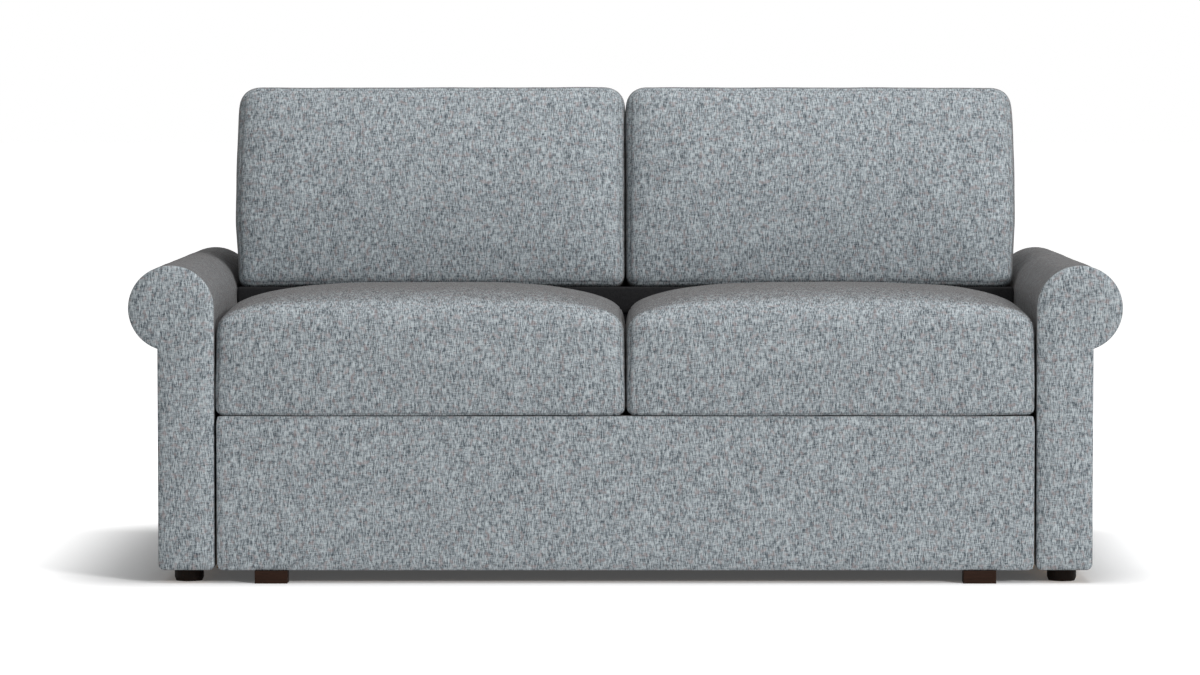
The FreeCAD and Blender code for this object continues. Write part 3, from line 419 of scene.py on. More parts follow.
def arm_mesh(side):
    """The outer skin of one arm, with its soft unevenness, cut hollow from below."""
    rows = arm_rows(64)
    points = []
    for inset, y in rows:
        near_end = min(y - arm_low.y, arm_high.y - y)
        for x, z in arm_outline(inset):
            soft = 0.0
            if near_end > ARM_UNEVEN_FROM:
                soft = ARM_UNEVEN * unevenness((x, y, z), ARM_UNEVEN_SIZE, 2.0 + side)
            drawn = Vector((x - ROLL_X, 0, max(z, 0.2) - ROLL_Z)).normalized() * soft if z > 0.1 else Vector()
            points.append(((x + drawn.x) * side, y, z + drawn.z))
    outline = arm_outline(0.0)
    count = len(outline)
    steps = [math.dist(a, b) for a, b in zip(outline, outline[1:] + outline[:1])]
    run = np.concatenate([[0], np.cumsum(steps)])
    faces, weave = [], []
    for r in range(len(rows) - 1):
        flat_end = rows[r][0] > 0.001 or rows[r + 1][0] > 0.001
        for i in range(count):
            j = (i + 1) % count
            quad = [r * count + i, r * count + j, (r + 1) * count + j, (r + 1) * count + i]
            here, there = rows[r][1], rows[r + 1][1]
            spans = [(here, run[i]), (here, run[i + 1]), (there, run[i + 1]), (there, run[i])]
            if flat_end:
                spans = [(points[k][0], points[k][2]) for k in quad]
            if side < 0:
                quad.reverse()
                spans.reverse()
            faces.append(quad)
            weave += spans
    for first, order in ((0, -side), ((len(rows) - 1) * count, side)):
        cap = list(range(first, first + count))[::order]
        faces.append(cap)
        weave += [(points[k][0], points[k][2]) for k in cap]
    outer = cloth_mesh("arm_skin", points, faces, weave)
    inner_y = arm_low.y + ARM_PADDING, arm_high.y - ARM_PADDING
    open_below, below = arm_low.z + 0.03, arm_low.z - 0.02
    core_line = [(x * side, z if z > open_below else below) for x, z in arm_outline(ARM_PADDING, 3)]
    core = [(x, y, z) for y in inner_y for x, z in core_line]
    n = len(core_line)
    core_faces = [[i, (i + 1) % n, n + (i + 1) % n, n + i] for i in range(n)]
    core_faces += [list(range(n))[::-1], list(range(n, 2 * n))]
    if side < 0:
        core_faces = [face[::-1] for face in core_faces]
    hollow = cloth_mesh("arm_core", core, core_faces, [(0, 0)] * sum(len(face) for face in core_faces))
    return carved(outer, hollow)


for side, word in ((1, "right"), (-1, "left")):
    placed("rolled_arm_" + word, arm_mesh(side), linen, "sofa_frame", "upholstery", "arm_cover_" + word,
           fill=0.95)


# Arm frames. Three plywood formers in each arm carry pine rails and a roll log, glued and stapled together.
# The same pale sawn wood serves the rails and posts of the whole sofa.

RING_COUNT, RING_SHARE, PORE_SHARE = 9.0, 0.45, 0.6


def grain_group():
    """Long wavering rings and fine pores of sawn wood, stretched along one axis by what is fed in."""
    takes = (("Place", "Vector"), ("Early wood", "Color"), ("Late wood", "Color"))
    group, given = group_of("sawn grain", "ShaderNodeTree", takes, LOOK_OUTPUTS)
    rings = sum_of(group, "MULTIPLY", clouds(group, given["Place"], 1.0, 3.0), RING_COUNT)
    bands = sum_of(group, "FRACT", rings)
    pores = clouds(group, given["Place"], 9.0, 2.0)
    share = sum_of(group, "MULTIPLY_ADD", pores, PORE_SHARE, sum_of(group, "MULTIPLY", bands, RING_SHARE))
    colour = mixed(group, share, given["Early wood"], given["Late wood"])
    return handed_out(group, colour, sum_of(group, "MULTIPLY_ADD", share, 0.2, 0.5), share)


GRAIN = grain_group()


def wooden(name, early, late, stretch, coat=0.0, strength=0.3, gloss=0.3):
    """Wood whose grain runs along the axis with the smallest stretch."""
    material, tree, shader = surface(name)
    where = put(tree, "ShaderNodeTexCoord").outputs["Object"]
    place = put(tree, "ShaderNodeMapping", where, None, None, stretch)
    wood = put(tree, "ShaderNodeGroup", place.outputs[0], (*early, 1), (*late, 1), node_tree=GRAIN)
    tree.links.new(wood.outputs["Color"], shader.inputs["Base Color"])
    tree.links.new(wood.outputs["Roughness"], shader.inputs["Roughness"])
    shader.inputs["Specular IOR Level"].default_value = gloss
    shader.inputs["Coat Weight"].default_value = coat
    shader.inputs["Coat Roughness"].default_value = 0.25
    bumped(tree, shader, wood.outputs["Height"], strength, 0.0003)
    return material


def finished(material, *names):
    """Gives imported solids, whose shape is right, their finish."""
    for name in names:
        for slot in nodes[name].material_slots:
            slot.material = material


PINE = ((0.62, 0.44, 0.25), (0.42, 0.25, 0.12))
ACROSS, DEEP, UPRIGHT = (1.2, 16, 16), (16, 1.2, 16), (16, 16, 1.2)
pine_across = wooden("pine_across", *PINE, ACROSS)
pine_deep = wooden("pine_deep", *PINE, DEEP)
pine_upright = wooden("pine_upright", *PINE, UPRIGHT)
finished(pine_upright, "arm_formers_left", "arm_formers_right")
finished(pine_deep, "arm_rails_left", "arm_rails_right")


# Bun feet. Low turned feet of hardwood stained almost black, one under each end of each arm, screwed up on
# zinc-plated hanger bolts.

DARK_SPECK = 0.72


def metal(name, colour, roughness, metallic, grain, strength):
    """A metal or painted metal with a fine uneven surface."""
    material, tree, shader = surface(name, roughness)
    where = put(tree, "ShaderNodeTexCoord").outputs["Object"]
    place = put(tree, "ShaderNodeMapping", where, None, None, grain)
    specks = clouds(tree, place.outputs[0], 1.0, 4.0)
    darker = tuple(c * DARK_SPECK for c in colour)
    tree.links.new(mixed(tree, specks, darker, colour), shader.inputs["Base Color"])
    tree.links.new(sum_of(tree, "MULTIPLY_ADD", specks, 0.25, roughness - 0.12), shader.inputs["Roughness"])
    shader.inputs["Metallic"].default_value = metallic
    bumped(tree, shader, specks, strength, 0.0002)
    return material


bun_stain = wooden("bun_stain", (0.010, 0.005, 0.003), (0.005, 0.003, 0.002), (40, 40, 6), strength=0.15,
                   gloss=0.12)
zinc = metal("zinc_plate", (0.62, 0.62, 0.60), 0.38, 1.0, (900, 220, 220), 0.15)
finished(bun_stain, *(f"bun_foot_{end}_{side}" for end in ("front", "rear") for side in ("left", "right")))
finished(zinc, "foot_bolts")


# Base. Two long side rails stand against the arms and three thin cross rails tie them under the bed. A black
# dust cloth is stapled up underneath.

finished(pine_deep, "side_rail_left", "side_rail_right")
finished(pine_across, "cross_rails")


def sheet_grid(x0, x1, y0, y1, nx, ny, rise):
    """A flat net of quads whose height at each point is rise(x, y)."""
    columns = [x0 + (x1 - x0) * i / nx for i in range(nx + 1)]
    rows = [y0 + (y1 - y0) * j / ny for j in range(ny + 1)]
    points = [(x, y, rise(x, y)) for y in rows for x in columns]
    faces = [(j * (nx + 1) + i, j * (nx + 1) + i + 1, (j + 1) * (nx + 1) + i + 1, (j + 1) * (nx + 1) + i)
             for j in range(ny) for i in range(nx)]
    weave = [points[k][:2] for face in faces for k in face]
    return points, faces, weave


dust_cloth = woven("dust_cloth", 0.0012, 0.006, (0.030, 0.030, 0.034), (0.012, 0.012, 0.014),
                   (0.02, 0.02, 0.02), 0.05, GREY_SHEEN)
cloth_low, cloth_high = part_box("dust_cover")
SAG, SHEET_UNEVEN = 0.004, 0.0003
SHEET_THICKNESS = 0.0008
SHEET_CELLS = 90, 60


def cloth_rise(x, y):
    """The dust sheet's height at one place: stretched at its edges and sagging a little between them."""
    across = 1 - (x / cloth_high.x) ** 2
    deep = 1 - ((2 * y - cloth_low.y - cloth_high.y) / (cloth_high.y - cloth_low.y)) ** 2
    return cloth_high.z - SAG * across * deep + SHEET_UNEVEN * unevenness((x, y, 0), 0.05, 5.0)


sheet_span = cloth_low.x, cloth_high.x, cloth_low.y, cloth_high.y
dust_mesh = cloth_mesh("dust_sheet", *sheet_grid(*sheet_span, *SHEET_CELLS, cloth_rise))
dust_solid = reshaped(dust_mesh, "SOLIDIFY", thickness=SHEET_THICKNESS, offset=-1)
dust_sheet = placed("dust_sheet", dust_solid, dust_cloth, "sofa_frame", "dust_cloth", "dust_cover")


# Back. Plywood formers and rails lean back behind the cushions, with webbing straps between them, a shelf and
# a sloping pad to stand the cushions on, and one padded cover over the top and the rear.

finished(pine_upright, "back_formers")
finished(pine_across, "back_rails")
webbing_cloth = woven("webbing_cloth", 0.0021, 0.004, (0.52, 0.45, 0.34), (0.22, 0.18, 0.12),
                      (0.10, 0.08, 0.06), 0.1, (1, 0.9, 0.8))


def face_weave(mesh):
    """A weave map from each face's own direction, so that yarns run level and upright, with no stretch."""
    layer = mesh.uv_layers.get("weave") or mesh.uv_layers.new(name="weave")
    if "seam" not in mesh.attributes:
        mesh.attributes.new("seam", "FLOAT", "POINT").data.foreach_set("value", np.ones(len(mesh.vertices)))
    pairs = np.zeros((len(mesh.loops), 2))
    for face in mesh.polygons:
        a, b = ((1, 2), (0, 2), (0, 1))[max(range(3), key=lambda axis: abs(face.normal[axis]))]
        for loop in face.loop_indices:
            place = mesh.vertices[mesh.loops[loop].vertex_index].co
            pairs[loop] = place[a], place[b]
    layer.data.foreach_set("uv", pairs.ravel())
    return mesh


def row_tree():
    """Equal blocks in a straight row: one for each point of a line, all with the same size and turn."""
    takes = [(name, "Vector") for name in ("Start", "Step", "Size", "Turn")]
    takes += [("Count", "Int"), ("Cells across", "Int"), ("Cells along", "Int"), ("Material", "Material")]
    tree, given = group_of("row of blocks", "GeometryNodeTree", takes, [("Geometry", "Geometry")])
    row = put(tree, "GeometryNodeMeshLine", given["Count"], None, given["Start"], given["Step"])
    block = put(tree, "GeometryNodeMeshCube", given["Size"], given["Cells across"], 2, given["Cells along"])
    copies = put(tree, "GeometryNodeInstanceOnPoints", row.outputs[0], None, block.outputs[0])
    tree.links.new(given["Turn"], copies.inputs["Rotation"])
    real = put(tree, "GeometryNodeRealizeInstances", copies.outputs[0])
    dyed = put(tree, "GeometryNodeSetMaterial", real.outputs[0], None, given["Material"])
    return handed_out(tree, dyed.outputs[0])


def grown(name, tree, **sizes):
    """The plain mesh that a Geometry Nodes tree makes with these sizes."""
    host = bpy.data.objects.new(name, bpy.data.meshes.new(name))
    scene.collection.objects.link(host)
    modifier = host.modifiers.new("grow", "NODES")
    modifier.node_group = tree
    for item in tree.interface.items_tree:
        size = item.name.replace(" ", "_").lower()
        if item.in_out == "INPUT" and size in sizes:
            modifier[item.identifier] = sizes[size]
    mesh = baked(host)
    bpy.data.objects.remove(host)
    return mesh


ROW = row_tree()
strap_low, strap_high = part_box("back_webbing")
LEAN = math.radians(12)
STRAP_WIDTH, STRAP_THICKNESS = 0.050, 0.0014
STRAP_COUNT = 5
BAY_INNER, BAY_OUTER = 0.009, 0.7674
strap_pitch = (BAY_OUTER - BAY_INNER) / STRAP_COUNT
strap_length = (strap_high.z - strap_low.z) / math.cos(LEAN) * 0.995
strap_size = (STRAP_WIDTH, STRAP_THICKNESS, strap_length)
strap_y, strap_z = (strap_low.y + strap_high.y) / 2, (strap_low.z + strap_high.z) / 2
for word, edge in (("left", -BAY_OUTER), ("right", BAY_INNER)):
    straps = grown("straps", ROW, start=(edge + strap_pitch / 2, strap_y, strap_z), step=(strap_pitch, 0, 0),
                   size=strap_size, turn=(-LEAN, 0, 0), count=STRAP_COUNT, cells_across=8, cells_along=40,
                   material=webbing_cloth)
    placed("back_straps_" + word, face_weave(straps), webbing_cloth, "sofa_frame", "webbing", "back_webbing")


def block_net(counts):
    """A closed box of even quads: corners as whole numbers of cells, faces, and the side each face is on."""
    nx, ny, nz = counts
    found, corners, faces, sides = {}, [], [], []

    def at(*key):
        if key not in found:
            found[key] = len(corners)
            corners.append(key)
        return found[key]

    for i in range(nx):
        for j in range(ny):
            faces.append((at(i, j, 0), at(i, j + 1, 0), at(i + 1, j + 1, 0), at(i + 1, j, 0)))
            faces.append((at(i, j, nz), at(i + 1, j, nz), at(i + 1, j + 1, nz), at(i, j + 1, nz)))
            sides += ["under", "top"]
        for k in range(nz):
            faces.append((at(i, 0, k), at(i + 1, 0, k), at(i + 1, 0, k + 1), at(i, 0, k + 1)))
            faces.append((at(i, ny, k), at(i, ny, k + 1), at(i + 1, ny, k + 1), at(i + 1, ny, k)))
            sides += ["front", "rear"]
    for j in range(ny):
        for k in range(nz):
            faces.append((at(0, j, k), at(0, j, k + 1), at(0, j + 1, k + 1), at(0, j + 1, k)))
            faces.append((at(nx, j, k), at(nx, j + 1, k), at(nx, j + 1, k + 1), at(nx, j, k + 1)))
            sides += ["left", "right"]
    return np.array(corners, float) / np.array(counts, float), faces, sides


def block_weave(place, faces, sides):
    """The weave map of a box net: yarns run on from the front over the top, and from the front under it."""
    height, depth = place[:, 2].max(), place[:, 1].max()
    maps = {
        "front": lambda p: (p[0], p[2]), "rear": lambda p: (p[0], -depth - p[2]),
        "top": lambda p: (p[0], height + p[1]), "under": lambda p: (p[0], -p[1]),
        "left": lambda p: (-p[1], p[2]), "right": lambda p: (5 + p[1], p[2]),
    }
    return [maps[side](place[k]) for face, side in zip(faces, sides) for k in face]


def rounded_off(place, size, radii):
    """Draws a box's edges in to soft rounds. radii is one (x, y, z) radius for each point."""
    half = size / 2
    away = place - half
    core = np.clip(away, -(half - radii), half - radii)
    step = (away - core) / radii
    length = np.linalg.norm(step, axis=1, keepdims=True)
    step = np.where(length > 1, step / np.maximum(length, 1e-9), step)
    return half + core + step * radii


# Painted shade: the back shelf and the pad under the cushions are near black, standing in for the shadow in
# the gap between the back and seat cushions.
black_paint = wooden("black_paint", (0.010, 0.010, 0.011), (0.006, 0.006, 0.007), ACROSS, strength=0.1,
                     gloss=0.15)
gap_shade_lining = woven("black_lining", 0.0012, 0.005, (0.010, 0.010, 0.011), (0.004, 0.004, 0.005),
               (0.01, 0.01, 0.01), 0.0, PLAIN_SHEEN)
finished(black_paint, "back_shelf")
pad_low, pad_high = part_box("shelf_pad")
PAD_EDGE = 0.006


BOARD_COLUMNS = 60


def outline_block(name, outline, x0, x1, bevel, segments):
    """A board with a side outline of (y, z) corners from x0 to x1, with soft edges and a fine net on it."""
    n = len(outline)
    columns = BOARD_COLUMNS
    points = [(x0 + (x1 - x0) * i / columns, y, z) for i in range(columns + 1) for y, z in outline]
    faces = [[i * n + k, i * n + (k + 1) % n, (i + 1) * n + (k + 1) % n, (i + 1) * n + k]
             for i in range(columns) for k in range(n)]
    faces += [list(range(n))[::-1], [columns * n + k for k in range(n)]]
    mesh = bpy.data.meshes.new(name)
    mesh.from_pydata(points, [], faces)
    done = reshaped(mesh, "BEVEL", width=bevel, segments=segments, limit_method="ANGLE",
                    angle_limit=math.radians(25))
    done.polygons.foreach_set("use_smooth", np.ones(len(done.polygons), bool))
    done.set_sharp_from_angle(angle=math.radians(40))
    return face_weave(done)


def oriented(outline):
    """The outline in the order that makes a board's faces point outwards."""
    area = sum(a[0] * b[1] - b[0] * a[1] for a, b in zip(outline, outline[1:] + outline[:1]))
    return outline if area > 0 else outline[::-1]


slope = math.tan(LEAN)
pad_depth = pad_high.y - pad_low.y
pad_outline = oriented([(pad_low.y, pad_low.z), (pad_high.y, pad_low.z),
                        (pad_high.y - 0.0001, pad_high.z - pad_depth * slope), (pad_low.y, pad_high.z)])
pad = outline_block("shelf_pad_skin", pad_outline, pad_low.x, pad_high.x, PAD_EDGE, 3)
placed("seat_back_shelf_pad", pad, gap_shade_lining, "sofa_frame", "upholstery", "shelf_pad", fill=0.9)

back_low, back_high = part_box("back_cover")
BACK_PADDING = 0.010
BACK_TOP_SETBACK = 0.038
APRON_EDGE = 0.003
SEAT_REST_Y, SEAT_REST_Z = 0.2444, 0.4963
shelf_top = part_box("back_shelf")[1].z
cushion_line_y = SEAT_REST_Y - SEAT_REST_Z * slope


def back_outline(inset, base):
    """The back's side outline: upright behind, then leaning, with a narrow top."""
    top = back_high.z - inset
    lean = cushion_line_y + inset / math.cos(LEAN)
    rear = back_high.y - inset
    return oriented([(rear, base), (rear, arm_high.z), (rear - BACK_TOP_SETBACK, top),
                     (lean + top * slope, top), (lean + base * slope, base)])


back_skin = outline_block("back_skin", back_outline(0, shelf_top), back_low.x, back_high.x, BACK_PADDING, 4)
core_ends = back_low.x + BACK_PADDING, back_high.x - BACK_PADDING
back_core = outline_block("back_core", back_outline(BACK_PADDING, shelf_top - 0.004), *core_ends, 0.0005, 1)
back_shell = carved(back_skin, back_core)
placed("back_upholstery", back_shell, linen, "sofa_frame", "upholstery", "back_cover", fill=0.9)
apron_front, apron_top = back_high.y - BACK_PADDING, shelf_top - 0.0005
apron_outline = oriented([(apron_front, back_low.z), (back_high.y, back_low.z), (back_high.y, apron_top),
                          (apron_front, apron_top)])
apron = outline_block("apron_skin", apron_outline, back_low.x, back_high.x, APRON_EDGE, 2)
placed("back_apron", apron, linen, "sofa_frame", "upholstery", "back_cover", fill=0.9)

STAPLE = (0.011, 0.0013, 0.0009)
STAPLE_PITCH = 0.062
STAPLE_INSET = 0.009
STAPLES_ACROSS, STAPLES_DEEP = 25, 15
staple_z = cloth_high.z - SHEET_THICKNESS - STAPLE[2] * 0.4
level, along = (STAPLE_PITCH, 0, 0), (0, STAPLE_PITCH, 0)
first_x, first_y = -12 * STAPLE_PITCH, cloth_low.y + 0.045
for word, x, y, step, turn, count in (
    ("front", first_x, cloth_low.y + STAPLE_INSET, level, 0, STAPLES_ACROSS),
    ("rear", first_x, cloth_high.y - STAPLE_INSET, level, 0, STAPLES_ACROSS),
    ("left", STAPLE_INSET - cloth_high.x, first_y, along, math.pi / 2, STAPLES_DEEP),
    ("right", cloth_high.x - STAPLE_INSET, first_y, along, math.pi / 2, STAPLES_DEEP),
):
    staples = grown("staples", ROW, start=(x, y, staple_z), step=step, size=STAPLE, turn=(0, 0, turn),
                    count=count, cells_across=2, cells_along=2, material=zinc)
    placed("dust_sheet_staples_" + word, staples, zinc, "sofa_frame", "zinc_steel")


# Side steel. A flat plate is bolted to each side rail and carries the main pivot in front and the rear
# crank's pivot behind. Plates and links are charcoal powder coat, and pins and bolts are zinc-plated.

powder_coat = metal("charcoal_coat", (0.035, 0.036, 0.040), 0.45, 0.0, (420, 420, 420), 0.25)
finished(powder_coat, "side_plate_left", "side_plate_right")
finished(zinc, "plate_bolts", "main_pivot_pins", "crank_pivot_pins")


# Bed frames. The head, middle and foot sections are welded rectangular tubes with birch slats across, each
# slat held at its ends in a moulded pocket.

BIRCH = ((0.78, 0.60, 0.38), (0.60, 0.42, 0.24))
birch = wooden("birch_ply", *BIRCH, (1.0, 22, 60), coat=0.15)
black_plastic = metal("black_plastic", (0.018, 0.018, 0.019), 0.5, 0.0, (700, 700, 700), 0.2)
finished(powder_coat, "head_frame", "middle_frame", "foot_frame")
finished(birch, "head_slats", "middle_slats", "foot_slats")

POCKET_SIZE = (0.028, 0.075, 0.012)
POCKET_DROP = 0.003
SLAT_WIDTH = 0.068
SLAT_ROWS = (("head", 8, 1), ("middle", 4, -1), ("foot", 4, 1))
for part, count, upward in SLAT_ROWS:
    low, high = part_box(part + "_slats")
    pitch = (high.y - low.y - SLAT_WIDTH) / (count - 1)
    height = (low.z if upward > 0 else high.z) + upward * (POCKET_SIZE[2] / 2 - POCKET_DROP)
    for side, word in ((1, "right"), (-1, "left")):
        start = ((high.x - POCKET_SIZE[0] / 2) * side, low.y + SLAT_WIDTH / 2, height)
        pockets = grown("pockets", ROW, start=start, step=(0, pitch, 0), size=POCKET_SIZE, turn=(0, 0, 0),
                        count=count, cells_across=4, cells_along=3, material=black_plastic)
        placed(part + "_slat_pockets_" + word, pockets, black_plastic, part + "_section", "cap_plastic")


# Mattress. One foam mattress in three sections, in off-white ticking quilted in squares, with a taped edge
# round the top and the bottom. Each section is held to its own frame.

ticking = woven("ticking", 0.0011, 0.005, (0.80, 0.79, 0.75), (0.60, 0.585, 0.54), (0.70, 0.67, 0.62), 0.2,
                PLAIN_SHEEN)
QUILT = 0.096
QUILT_DIP = 0.0035
QUILT_SHARPNESS = 2.2
QUILT_BORDER, QUILT_FADE = 0.02, 0.03
MATTRESS_CELL = 0.012
MATTRESS_CORNER = 0.028


def mattress_mesh(low, high):
    """One section of the mattress: a soft-edged block, quilted in squares above and below."""
    size = np.array(high - low)
    share, faces, sides = block_net([max(4, round(s / MATTRESS_CELL)) for s in size])
    place = share * size
    radii = np.tile([MATTRESS_CORNER, MATTRESS_CORNER, 0.016], (len(place), 1))
    soft = rounded_off(place, size, radii)
    weave = block_weave(place, faces, sides)
    dip = np.zeros(len(place))
    for axis in (0, 1):
        cells = round(size[axis] / QUILT)
        wave = np.abs(np.sin(math.pi * cells * share[:, axis]))
        dip = np.maximum(dip, 1 - np.minimum(1, wave * QUILT_SHARPNESS))
    edge = (np.minimum(share, 1 - share) * size)[:, :2].min(axis=1)
    dip = dip * np.clip((edge - QUILT_BORDER) / QUILT_FADE, 0, 1)
    inward = np.where(share[:, 2] > 0.99, -1, np.where(share[:, 2] < 0.01, 1, 0))
    soft[:, 2] += inward * dip * QUILT_DIP
    return cloth_mesh("mattress", soft + np.array(low), faces, weave)


TAPE_RADIUS = 0.0035
TAPE_INSET = 0.0082
TAPE_DROP = 0.0047
TAPE_SIDES, TAPE_TURNS = 10, 8
tape_cloth = woven("edge_tape", 0.0009, 0.003, (0.66, 0.64, 0.58), (0.48, 0.46, 0.41), (0.55, 0.52, 0.46),
                   0.1, PLAIN_SHEEN)


def tape_mesh(low, high, z):
    """A round tape sewn along one edge of a mattress section, all the way round it."""
    radius = MATTRESS_CORNER - TAPE_INSET
    half_x, half_y = (high.x - low.x) / 2 - MATTRESS_CORNER, (high.y - low.y) / 2 - MATTRESS_CORNER
    middle_x, middle_y = (high.x + low.x) / 2, (high.y + low.y) / 2
    rings, points = [], []
    for corner, (sx, sy) in enumerate(((1, 1), (-1, 1), (-1, -1), (1, -1))):
        for step in range(TAPE_TURNS + 1):
            turn = math.radians(90 * corner + 90 * step / TAPE_TURNS)
            rings.append((middle_x + sx * half_x, middle_y + sy * half_y, math.cos(turn), math.sin(turn)))
    for x, y, out_x, out_y in rings:
        for k in range(TAPE_SIDES):
            angle = 2 * math.pi * k / TAPE_SIDES
            reach = radius + TAPE_RADIUS * math.cos(angle)
            points.append((x + out_x * reach, y + out_y * reach, z + TAPE_RADIUS * math.sin(angle)))
    faces = []
    for i in range(len(rings)):
        here, there = i * TAPE_SIDES, (i + 1) % len(rings) * TAPE_SIDES
        for k in range(TAPE_SIDES):
            following = (k + 1) % TAPE_SIDES
            faces.append((here + k, there + k, there + following, here + following))
    weave = [(points[k][0] + points[k][1], points[k][2]) for face in faces for k in face]
    return cloth_mesh("tape", points, faces, weave)


for part in ("head", "middle", "foot"):
    low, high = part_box(part + "_mattress")
    body = part + "_section"
    placed(part + "_quilted_mattress", mattress_mesh(low, high), ticking, body, "mattress_ticking",
           part + "_mattress", fill=0.85)
    for word, z in (("lower", low.z + TAPE_DROP), ("upper", high.z - TAPE_DROP)):
        placed(part + "_mattress_tape_" + word, tape_mesh(low, high, z), tape_cloth, body, "mattress_ticking")


# Linkage. Flat steel links fold the bed: the head brackets, the middle brackets, the hinge ears, two folding
# legs with moulded caps and the rear cranks. All turn on zinc-plated pins.

finished(powder_coat, "head_brackets", "middle_bracket_left", "middle_bracket_right", "foot_hinge_ears",
         "leg_left", "leg_right", "rear_crank_left", "rear_crank_right")
finished(zinc, "fold_pins", "hinge_pins", "leg_pins")
finished(black_plastic, "leg_cap_left", "leg_cap_right")


# Front panel. A plywood board padded and covered in the same linen, hung on two steel brackets from the foot
# section. A cleat stiffens it below, and two square stained block feet stand under it.

panel_low, panel_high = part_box("front_panel_cover")
board_low, board_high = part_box("front_panel_board")
PANEL_CELL = 0.012
PANEL_CROWN, PANEL_UNEVEN = 0.002, 0.0005
SIDE_ROUND, FACE_ROUND, REAR_ROUND, TOP_ROUND = 0.010, 0.008, 0.002, 0.004
BOARD_GAP = 0.0003


def panel_mesh():
    """The front panel's padded cover, crowned a little in front and carved out behind for the board."""
    size = np.array(panel_high - panel_low)
    share, faces, sides = block_net([round(size[0] / PANEL_CELL), 5, round(size[2] / PANEL_CELL)])
    place = share * size
    radii = np.full((len(place), 3), SIDE_ROUND)
    radii[:, 1] = np.where(share[:, 1] > 0.6, REAR_ROUND, FACE_ROUND)
    radii[share[:, 2] > 0.5, 2] = TOP_ROUND
    soft = rounded_off(place, size, radii)
    crown = (1 - (2 * share[:, 0] - 1) ** 8) * (1 - (2 * share[:, 2] - 1) ** 6)
    faced = share[:, 1] < 0.01
    soft[:, 1] += np.where(faced, PANEL_CROWN * (1 - crown), 0)
    soft[:, 1] += [PANEL_UNEVEN * unevenness(p, 0.16, 9.0) if ahead else 0 for p, ahead in zip(place, faced)]
    mesh = cloth_mesh("panel_skin", soft + np.array(panel_low), faces, block_weave(place, faces, sides))
    core_low = np.array([board_low.x - BOARD_GAP, board_low.y, board_low.z - BOARD_GAP])
    core_high = np.array([board_high.x + BOARD_GAP, panel_high.y + 0.01, board_high.z + BOARD_GAP])
    core, core_faces, _ = block_net([1, 1, 1])
    core = core * (core_high - core_low) + core_low
    return carved(mesh, cloth_mesh("panel_core", core, core_faces, [(0, 0)] * 24))


placed("front_panel_upholstery", panel_mesh(), linen, "foot_section", "upholstery", "front_panel_cover",
       fill=0.95)
block_stain = wooden("block_stain", (0.026, 0.010, 0.005), (0.014, 0.006, 0.003), (6, 40, 40), strength=0.15,
                     gloss=0.12)
finished(pine_across, "front_panel_board", "panel_cleat")
finished(powder_coat, "panel_brackets")
finished(zinc, "panel_bolts")
finished(block_stain, "block_foot_left", "block_foot_right")


# Seat cushions. Two loose foam cushions wrapped in wadding. One linen panel runs over the top and down the
# front, sewn to side, rear and bottom panels, and the filling swells each panel between its seams.

SWELL = {"quality": 5, "mass": 0.3, "tension_stiffness": 18, "compression_stiffness": 18,
         "shear_stiffness": 8, "bending_stiffness": 0.8, "use_pressure": True, "uniform_pressure_force": 4.0,
         "vertex_group_mass": "sewn"}
SWELL_STEPS = 20
SWELL_CAP, SWELL_SHARE = 0.025, 0.4
VALLEY_REACH, VALLEY_DEPTH = 0.004, 0.0015
OPPOSITE = {"left": "right", "front": "rear", "under": "top"}
OPPOSITE.update({far: near for near, far in OPPOSITE.items()})


def swollen(mesh, held):
    """Inflates a closed cushion with Cloth, held at its seams, and returns how far each point moves."""
    piece = bpy.data.objects.new("swelling", mesh)
    scene.collection.objects.link(piece)
    sewn = piece.vertex_groups.new(name="sewn")
    sewn.add([int(i) for i in np.nonzero(held)[0]], 1.0, "REPLACE")
    cloth = piece.modifiers.new("cloth", "CLOTH")
    for name, value in SWELL.items():
        setattr(cloth.settings, name, value)
    cloth.settings.effector_weights.gravity = 0
    cloth.collision_settings.use_collision = False
    for step in range(1, SWELL_STEPS + 1):
        scene.frame_set(step)
    done = baked(piece)
    moved = vectors(done, "co") - vectors(mesh, "co")
    scene.frame_set(1)
    bpy.data.objects.remove(piece)
    length = np.linalg.norm(moved, axis=1, keepdims=True)
    return moved * np.minimum(1, SWELL_CAP / np.maximum(length, 1e-9)) * SWELL_SHARE


def vectors(mesh, what):
    """The places ("co") or the normals ("normal") of all points, as rows."""
    rows = np.zeros(len(mesh.vertices) * 3)
    mesh.vertices.foreach_get(what, rows)
    return rows.reshape(-1, 3)


def moved_by(mesh, step):
    """Moves a mesh's points by an array of steps."""
    mesh.vertices.foreach_set("co", (vectors(mesh, "co") + step).ravel())
    mesh.update()
    return mesh


def grooved(mesh):
    """Pulls the points on a seam in, so that the panels meet in a soft valley."""
    reach = np.zeros(len(mesh.vertices))
    mesh.attributes["seam"].data.foreach_get("value", reach)
    pull = VALLEY_DEPTH * np.clip(1 - np.abs(reach) / VALLEY_REACH, 0, 1)
    return moved_by(mesh, -vectors(mesh, "normal") * pull[:, None])


def edge_reach(place, size, panels):
    """Distance to the seam round the named panels of a box net: above nought on a panel, below off it."""
    reach = np.full(len(place), -1.0)
    gap = {"left": place[:, 0], "right": size[0] - place[:, 0], "front": place[:, 1],
           "rear": size[1] - place[:, 1], "under": place[:, 2], "top": size[2] - place[:, 2]}
    for panel in panels:
        inward = np.minimum.reduce([gap[other] for other in gap if other not in (panel, OPPOSITE[panel])])
        reach = np.maximum(reach, np.where(gap[panel] < 1e-6, inward, -gap[panel]))
    return reach


